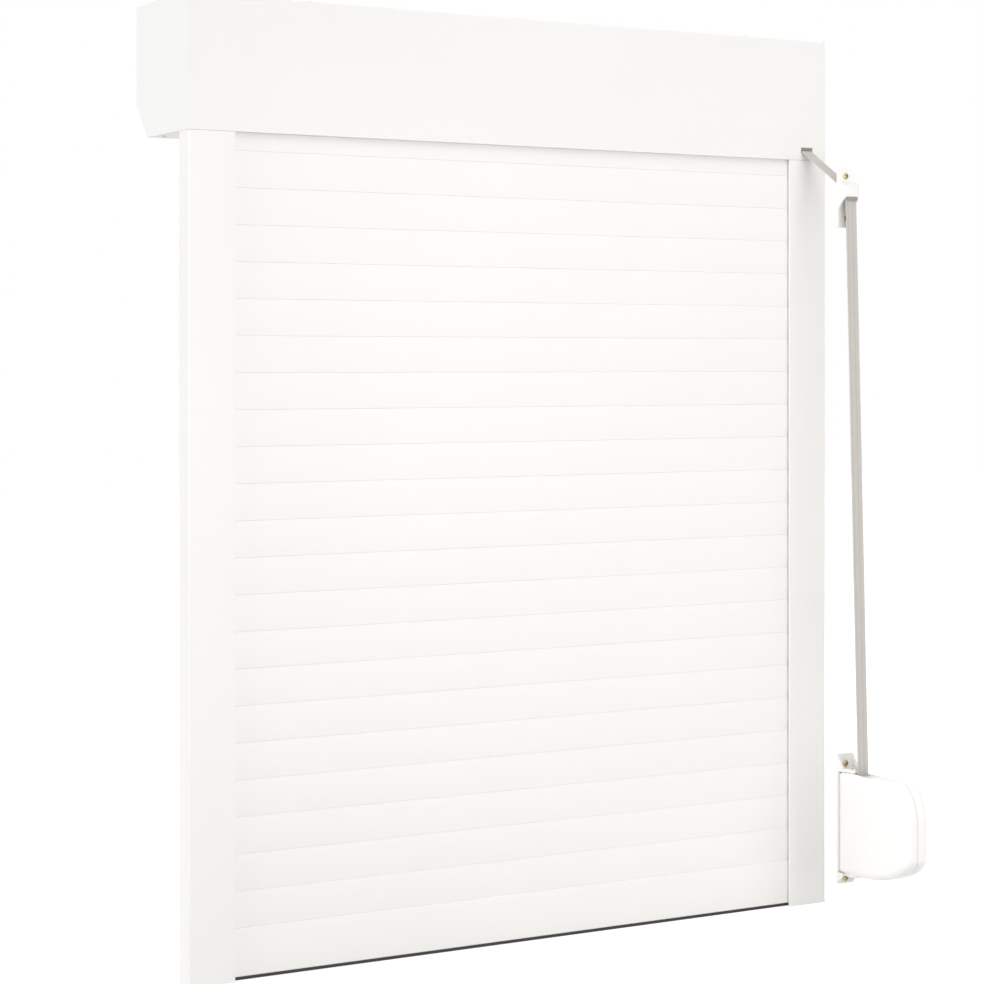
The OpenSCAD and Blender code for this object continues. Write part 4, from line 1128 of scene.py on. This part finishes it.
class SHUTTER_OT_screws(bpy.types.Operator):
    """Turn the brass wall screws with domed heads, cross recesses and threads"""

    bl_idname = "shutter.screws"
    bl_label = "Wall screws"
    SIDES = 72
    TURNS = (0.35, 1.1)
    DOME_HEIGHT, DOME_RADIUS = 2.05 * MM, 3.62 * MM
    BAR_LONG, BAR_WIDE = 1.95, 0.42
    CROSS_REACH, CROSS_SLOPE, CROSS_DEPTH = 1.15 * MM, 0.3 * MM, 1.3 * MM
    CORE, NECK, THREAD, PITCH = 1.35 * MM, 0.4 * MM, 0.62 * MM, 1.4 * MM
    RUN_IN, POINT, POINT_END = 0.8 * MM, 2.5 * MM, 0.08

    def execute(self, context):
        w = context.scene.shutter_winder
        for name, node in (("guide_wall_screws", "guide_screws"), ("bracket_wall_screws", "bracket_screws")):
            low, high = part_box(node)
            reach = high[1] - w.wall
            heights = (low[2] + w.screw, high[2] - w.screw)
            x = (low[0] + high[0]) / 2
            parts = [self.screw(w, x, z, reach, turn) for z, turn in zip(heights, self.TURNS)]
            piece = make_piece(name, *join_meshes(parts), smooth=40)
            settle(piece, "frame", "brass", MATERIALS["brass"], node)
        return {"FINISHED"}

    def screw(self, w, x, z, reach, turn):
        """A screw as radius and height over the way along its outline and the angle round its axis.

        The head is a dome from which a cross is sunk where the point lies in one of two crossing bars. The
        thread is a triangle wave of the height less the angle, on a core that ends in a cone.
        """
        face = w.wall - w.plate
        a = np.linspace(0, 2 * math.pi, self.SIDES + 1)[:-1, None]
        r = np.concatenate([np.linspace(0.02, 2.4, 24), np.linspace(2.5, 3.45, 8), [3.5]]) * MM
        dome = self.DOME_HEIGHT * np.sqrt(np.clip(1 - (r / self.DOME_RADIUS) ** 2, 0, 1))
        u, v = np.abs(r * np.cos(a - turn)), np.abs(r * np.sin(a - turn))
        bar = np.minimum(np.maximum(u / self.BAR_LONG, v / self.BAR_WIDE),
                         np.maximum(v / self.BAR_LONG, u / self.BAR_WIDE))
        sunk = np.clip((self.CROSS_REACH - bar) / self.CROSS_SLOPE, 0, 1)
        rise = dome - sunk * self.CROSS_DEPTH
        head = np.stack(np.broadcast_arrays(r[None] * np.cos(a), -rise, r[None] * np.sin(a)), -1)
        way = np.linspace(0.05, 1, 90) * (reach + w.plate)
        inside = np.clip((way - w.plate) / self.RUN_IN, 0, 1)
        tip = np.clip((reach + w.plate - way) / self.POINT, self.POINT_END, 1)
        wave = np.abs(((way[None] / self.PITCH - a / (2 * math.pi)) % 1) - 0.5) * 2
        core = (self.CORE + (self.THREAD * wave) * inside + self.NECK * (1 - inside)) * tip
        shank = np.stack(np.broadcast_arrays(core * np.cos(a), way[None] + 0 * a, core * np.sin(a)), -1)
        points = np.concatenate([head, shank], 1) + (x, face, z)
        return points, turned_faces(*points.shape[:2])


class SHUTTER_OT_bracket(bpy.types.Operator):
    """Finish the winder's wall bracket and the pins of its swivel"""

    bl_idname = "shutter.bracket"
    bl_label = "Winder bracket"
    EDGE = 0.6 * MM
    LIP_PROUD = 0.15 * MM
    LIP_START, SLOPE_START, SLOPE = 0.7, 0.88, 0.85

    def execute(self, context):
        w = context.scene.shutter_winder
        low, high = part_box("winder_bracket")
        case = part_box("winder_case_left")
        middle, half = (low[0] + high[0]) / 2, (high[0] - low[0]) / 2
        reach = half + self.LIP_PROUD
        lips = [prism_mesh([self.lip(w, middle, sign * reach)], case[0][2], case[1][2], "Z")
                for sign in (-1, 1)]
        piece = softened("winder_bracket", "wall_bracket", self.EDGE, extra=lips)
        settle(piece, "frame", "moulded_white", MATERIALS["moulded"], "winder_bracket")
        dress(MATERIALS["steel"], "hinge_pins")
        return {"FINISHED"}

    def lip(self, w, middle, reach):
        """Section of the trough's lip: a wedge that ends where the case passes.

        That is the circle in which the case's back turns, or the case's side at the end of the swivel,
        where it stands at x cos a + y sin a = half thickness + gap / 2 from the swivel's axis. The outer
        edge slopes.
        """
        x = np.linspace(self.LIP_START, 1, 11) * reach
        circle = np.sqrt((w.swivel_r + w.swivel_gap) ** 2 - x ** 2)
        side = (w.half + w.swivel_gap / 2 - np.abs(x) * math.cos(w.swing)) / math.sin(w.swing)
        slope = self.SLOPE * np.clip(np.abs(x) - self.SLOPE_START * abs(reach), 0, None)
        y = w.swivel_y + np.maximum(circle, side) + slope
        root = w.wall - w.plate / 2
        return np.concatenate([np.c_[middle + x, y], [(middle + x[-1], root), (middle + x[0], root)]])


class SHUTTER_OT_winder(bpy.types.Operator):
    """Shape the two halves of the winder's case, and finish the spool inside"""

    bl_idname = "shutter.winder"
    bl_label = "Winder"
    HALF_GAP = 0.06 * MM
    TINY = 1e-6

    def execute(self, context):
        w = context.scene.shutter_winder
        middle = context.scene.shutter_strap.middle
        for side, sign in (("left", -1), ("right", 1)):
            half = make_piece(f"case_half_{side}", *self.half_case(w, middle, sign), smooth=40)
            wall = half.modifiers.new("wall", "SOLIDIFY")
            wall.thickness = w.shell
            wall.offset = -1.0
            wall.use_even_offset = True
            settle(half, "winder", "moulded_white", MATERIALS["moulded"], f"winder_case_{side}")
        dress(MATERIALS["moulded"], "winder_spool")
        dress(MATERIALS["steel"], "spool_axle", "spiral_spring")
        return {"FINISHED"}

    def outline(self, w):
        """Side view of the case, and the way that each point goes when the outline is drawn in.

        Quarter ellipses in front, whose half axes shrink, and small arcs behind, which move along the
        diagonal, are joined by straight runs. The mouth's two ends are points of the top run.
        """
        edge = (w.round_back, w.round_back)
        parts, ways = [], []
        for corner, size, start, steps, stiff in (
                ((w.front, w.top), (w.high_y, w.high_z), 90, 36, False),
                ((w.front, w.bottom), (w.low_y, w.low_z), 180, 36, False),
                ((w.back, w.bottom), edge, 270, 8, True), ((w.back, w.top), edge, 0, 8, True)):
            turn = arc((0, 0), 1.0, start, start + 90, steps)
            outward = np.sign(turn[steps // 2])
            parts.append(np.array(corner) + (turn - outward) * size)
            ways.append(np.tile(outward, (steps + 1, 1)) if stiff else turn)
        line, way = [], []
        for k in range(4):
            here, there = parts[k][-1], parts[(k + 1) % 4][0]
            if k == 3:
                stops = (there[0], w.mouth_y0, w.mouth_y1, here[0])
                y = np.concatenate([
                    np.linspace(stops[3], stops[2], 4)[1:], np.linspace(stops[2], stops[1], 6)[1:],
                    np.linspace(stops[1], stops[0], 4)[1:-1]])
                run = np.c_[y, np.full_like(y, w.top)]
                lean = np.c_[np.interp(y, stops, (0, 0, 0, 1)), np.ones_like(y)]
            else:
                t = np.linspace(0, 1, 11)[1:-1, None]
                run = here + (there - here) * t
                lean = ways[k][-1] + (ways[k + 1][0] - ways[k][-1]) * t
            line += [parts[k], run]
            way += [ways[k], lean]
        return np.concatenate(line), np.concatenate(way)

    def half_case(self, w, middle, sign):
        """Half of the case: the side view carried outwards from the seam, drawn in along a quarter circle.

        At the angle a the ring stands at half thickness - r + r sin a, drawn in by r (1 - cos a). The back
        bulges to a cylinder about the swivel's axis, the seam is a small bevel, and the cells of the mouth
        are left out.
        """
        line, way = self.outline(w)
        a = np.radians(np.linspace(0, 90, 13))
        flat = w.half - w.pillow
        x = np.concatenate([[self.HALF_GAP, self.HALF_GAP + w.seam], np.linspace(0.15, 1, 4) * flat,
                            flat + w.pillow * np.sin(a[1:])])
        x = np.sort(np.append(x, w.mouth_half))
        fall = np.sqrt(np.clip(w.pillow ** 2 - (x - flat) ** 2, 0, None))
        drawn = np.where(x > flat, w.pillow - fall, 0.0)
        inset = np.repeat(drawn[:, None], len(line), 1)
        inset[0] += w.seam
        yz = line[None] - way[None] * inset[..., None]
        round_back = w.swivel_y + np.sqrt(w.swivel_r ** 2 - x ** 2)
        near = np.clip((line[:, 0] - w.back) / w.round_back + 1, 0, 1)
        yz[..., 0] += np.clip(round_back + drawn - w.back, 0, None)[:, None] * near[None]
        rows, cols = inset.shape
        across = np.broadcast_to(middle + sign * x[:, None, None], (rows, cols, 1))
        points = np.concatenate([across, yz], -1)
        quads = grid_faces(rows, cols, False, True).reshape(rows - 1, cols, 4)
        nxt = np.roll(line, -1, 0)
        top = (np.abs(line[:, 1] - w.top) < self.TINY) & (np.abs(nxt[:, 1] - w.top) < self.TINY)
        in_mouth = top & (np.maximum(line[:, 0], nxt[:, 0]) < w.mouth_y1 + self.TINY)
        in_mouth &= np.minimum(line[:, 0], nxt[:, 0]) > w.mouth_y0 - self.TINY
        open_cell = (x[1:] < w.mouth_half + self.TINY)[:, None] & in_mouth[None]
        faces = quads[~open_cell].tolist()
        faces.append(list(range((rows - 1) * cols, rows * cols)))
        return points, faces


class SHUTTER_OT_stage(bpy.types.Operator):
    """Set the pale floor, the soft lamps, the even sky and the camera"""

    bl_idname = "shutter.stage"
    bl_label = "Stage"
    FLOOR_DROP = 0.0005

    def execute(self, context):
        s = context.scene.shutter_stage
        scene = context.scene
        scene.view_settings.view_transform = "Standard"
        self.floor(s)
        self.sky(scene, s.sky)
        for name, kind in (("key", "AREA"), ("fill", "AREA"), ("back", "AREA"), ("side", "SUN")):
            self.lamp(scene, s, name, kind)
        camera = bpy.data.cameras.new("camera")
        camera.lens = s.lens
        camera.shift_y = s.lift
        camera.dof.use_dof = False
        obj = bpy.data.objects.new("camera", camera)
        obj.location = s.eye
        obj.rotation_euler = (math.pi / 2, 0, -s.turn)
        scene.collection.objects.link(obj)
        scene.camera = obj
        return {"FINISHED"}

    def lamp(self, scene, s, name, kind):
        """A square soft box, or an even light as wide as an angle, that faces the middle of the shutter."""
        light = bpy.data.lights.new(name, kind)
        light.energy = getattr(s, name)
        setattr(light, "angle" if kind == "SUN" else "size", getattr(s, f"{name}_size"))
        obj = bpy.data.objects.new(name, light)
        where = Vector(getattr(s, f"{name}_at"))
        obj.location = where
        obj.rotation_euler = (Vector(s.aim) - where).to_track_quat("-Z", "Y").to_euler()
        scene.collection.objects.link(obj)

    def seen(self, tree):
        """1 where a camera, glossy or transmission ray looks, else 0."""
        path = add(tree, "LightPath")
        total = math_node(tree, "ADD", path.outputs["Is Camera Ray"], path.outputs["Is Glossy Ray"])
        return math_node(tree, "ADD", total, path.outputs["Is Transmission Ray"], True)

    def floor(self, s):
        """A square of pale floor, with a little light of its own that only looking rays see."""
        square = np.array([(-1, -1), (1, -1), (1, 1), (-1, 1)]) * s.floor_half
        height = FLOOR_Z - self.FLOOR_DROP
        floor = make_piece("floor", place(square, height, "Z"), [[0, 1, 2, 3]], outward=False)
        material, tree, shader = new_material("pale_floor")
        shader.inputs["Base Color"].default_value = (s.floor_tone, s.floor_tone, s.floor_tone, 1)
        shader.inputs["Roughness"].default_value = 0.9
        shader.inputs["Specular IOR Level"].default_value = 0.1
        shader.inputs["Emission Color"].default_value = (1, 1, 1, 1)
        glow = math_node(tree, "MULTIPLY", self.seen(tree), s.floor_glow)
        tree.links.new(glow, shader.inputs["Emission Strength"])
        floor.data.materials.append(material)

    def sky(self, scene, level):
        """White where it is looked at, and an even light elsewhere."""
        world = bpy.data.worlds.new("sky")
        world.use_nodes = True
        tree = world.node_tree
        ground = tree.nodes["Background"]
        ground.inputs[0].default_value = (1, 1, 1, 1)
        tree.links.new(spread(tree, self.seen(tree), level, 1.0), ground.inputs[1])
        scene.world = world


OPERATORS = (
    SHUTTER_OT_finishes, SHUTTER_OT_box, SHUTTER_OT_caps, SHUTTER_OT_roller, SHUTTER_OT_rails,
    SHUTTER_OT_curtain, SHUTTER_OT_strap, SHUTTER_OT_guide, SHUTTER_OT_screws, SHUTTER_OT_bracket,
    SHUTTER_OT_winder, SHUTTER_OT_stage,
)


class SHUTTER_PT_panel(bpy.types.Panel):
    """Sizes, colours and steps of the shutter"""

    bl_idname = "SHUTTER_PT_panel"
    bl_label = "Shutter"
    bl_space_type = "VIEW_3D"
    bl_region_type = "UI"
    bl_category = "Shutter"

    def draw(self, context):
        for step in OPERATORS:
            self.layout.operator(step.bl_idname)
        for name in GROUPS:
            box = self.layout.box()
            values = getattr(context.scene, name)
            for key in values.__annotations__:
                box.prop(values, key)


CLASSES = (*GROUPS.values(), *OPERATORS, SHUTTER_PT_panel)


def register():
    for cls in CLASSES:
        bpy.utils.register_class(cls)
    for name, cls in GROUPS.items():
        setattr(bpy.types.Scene, name, PointerProperty(type=cls))


def unregister():
    for name in GROUPS:
        delattr(bpy.types.Scene, name)
    for cls in reversed(CLASSES):
        bpy.utils.unregister_class(cls)


def main():
    register()
    for step in OPERATORS:
        space, name = step.bl_idname.split(".")
        getattr(getattr(bpy.ops, space), name)()


if __name__ == "__main__":
    main()
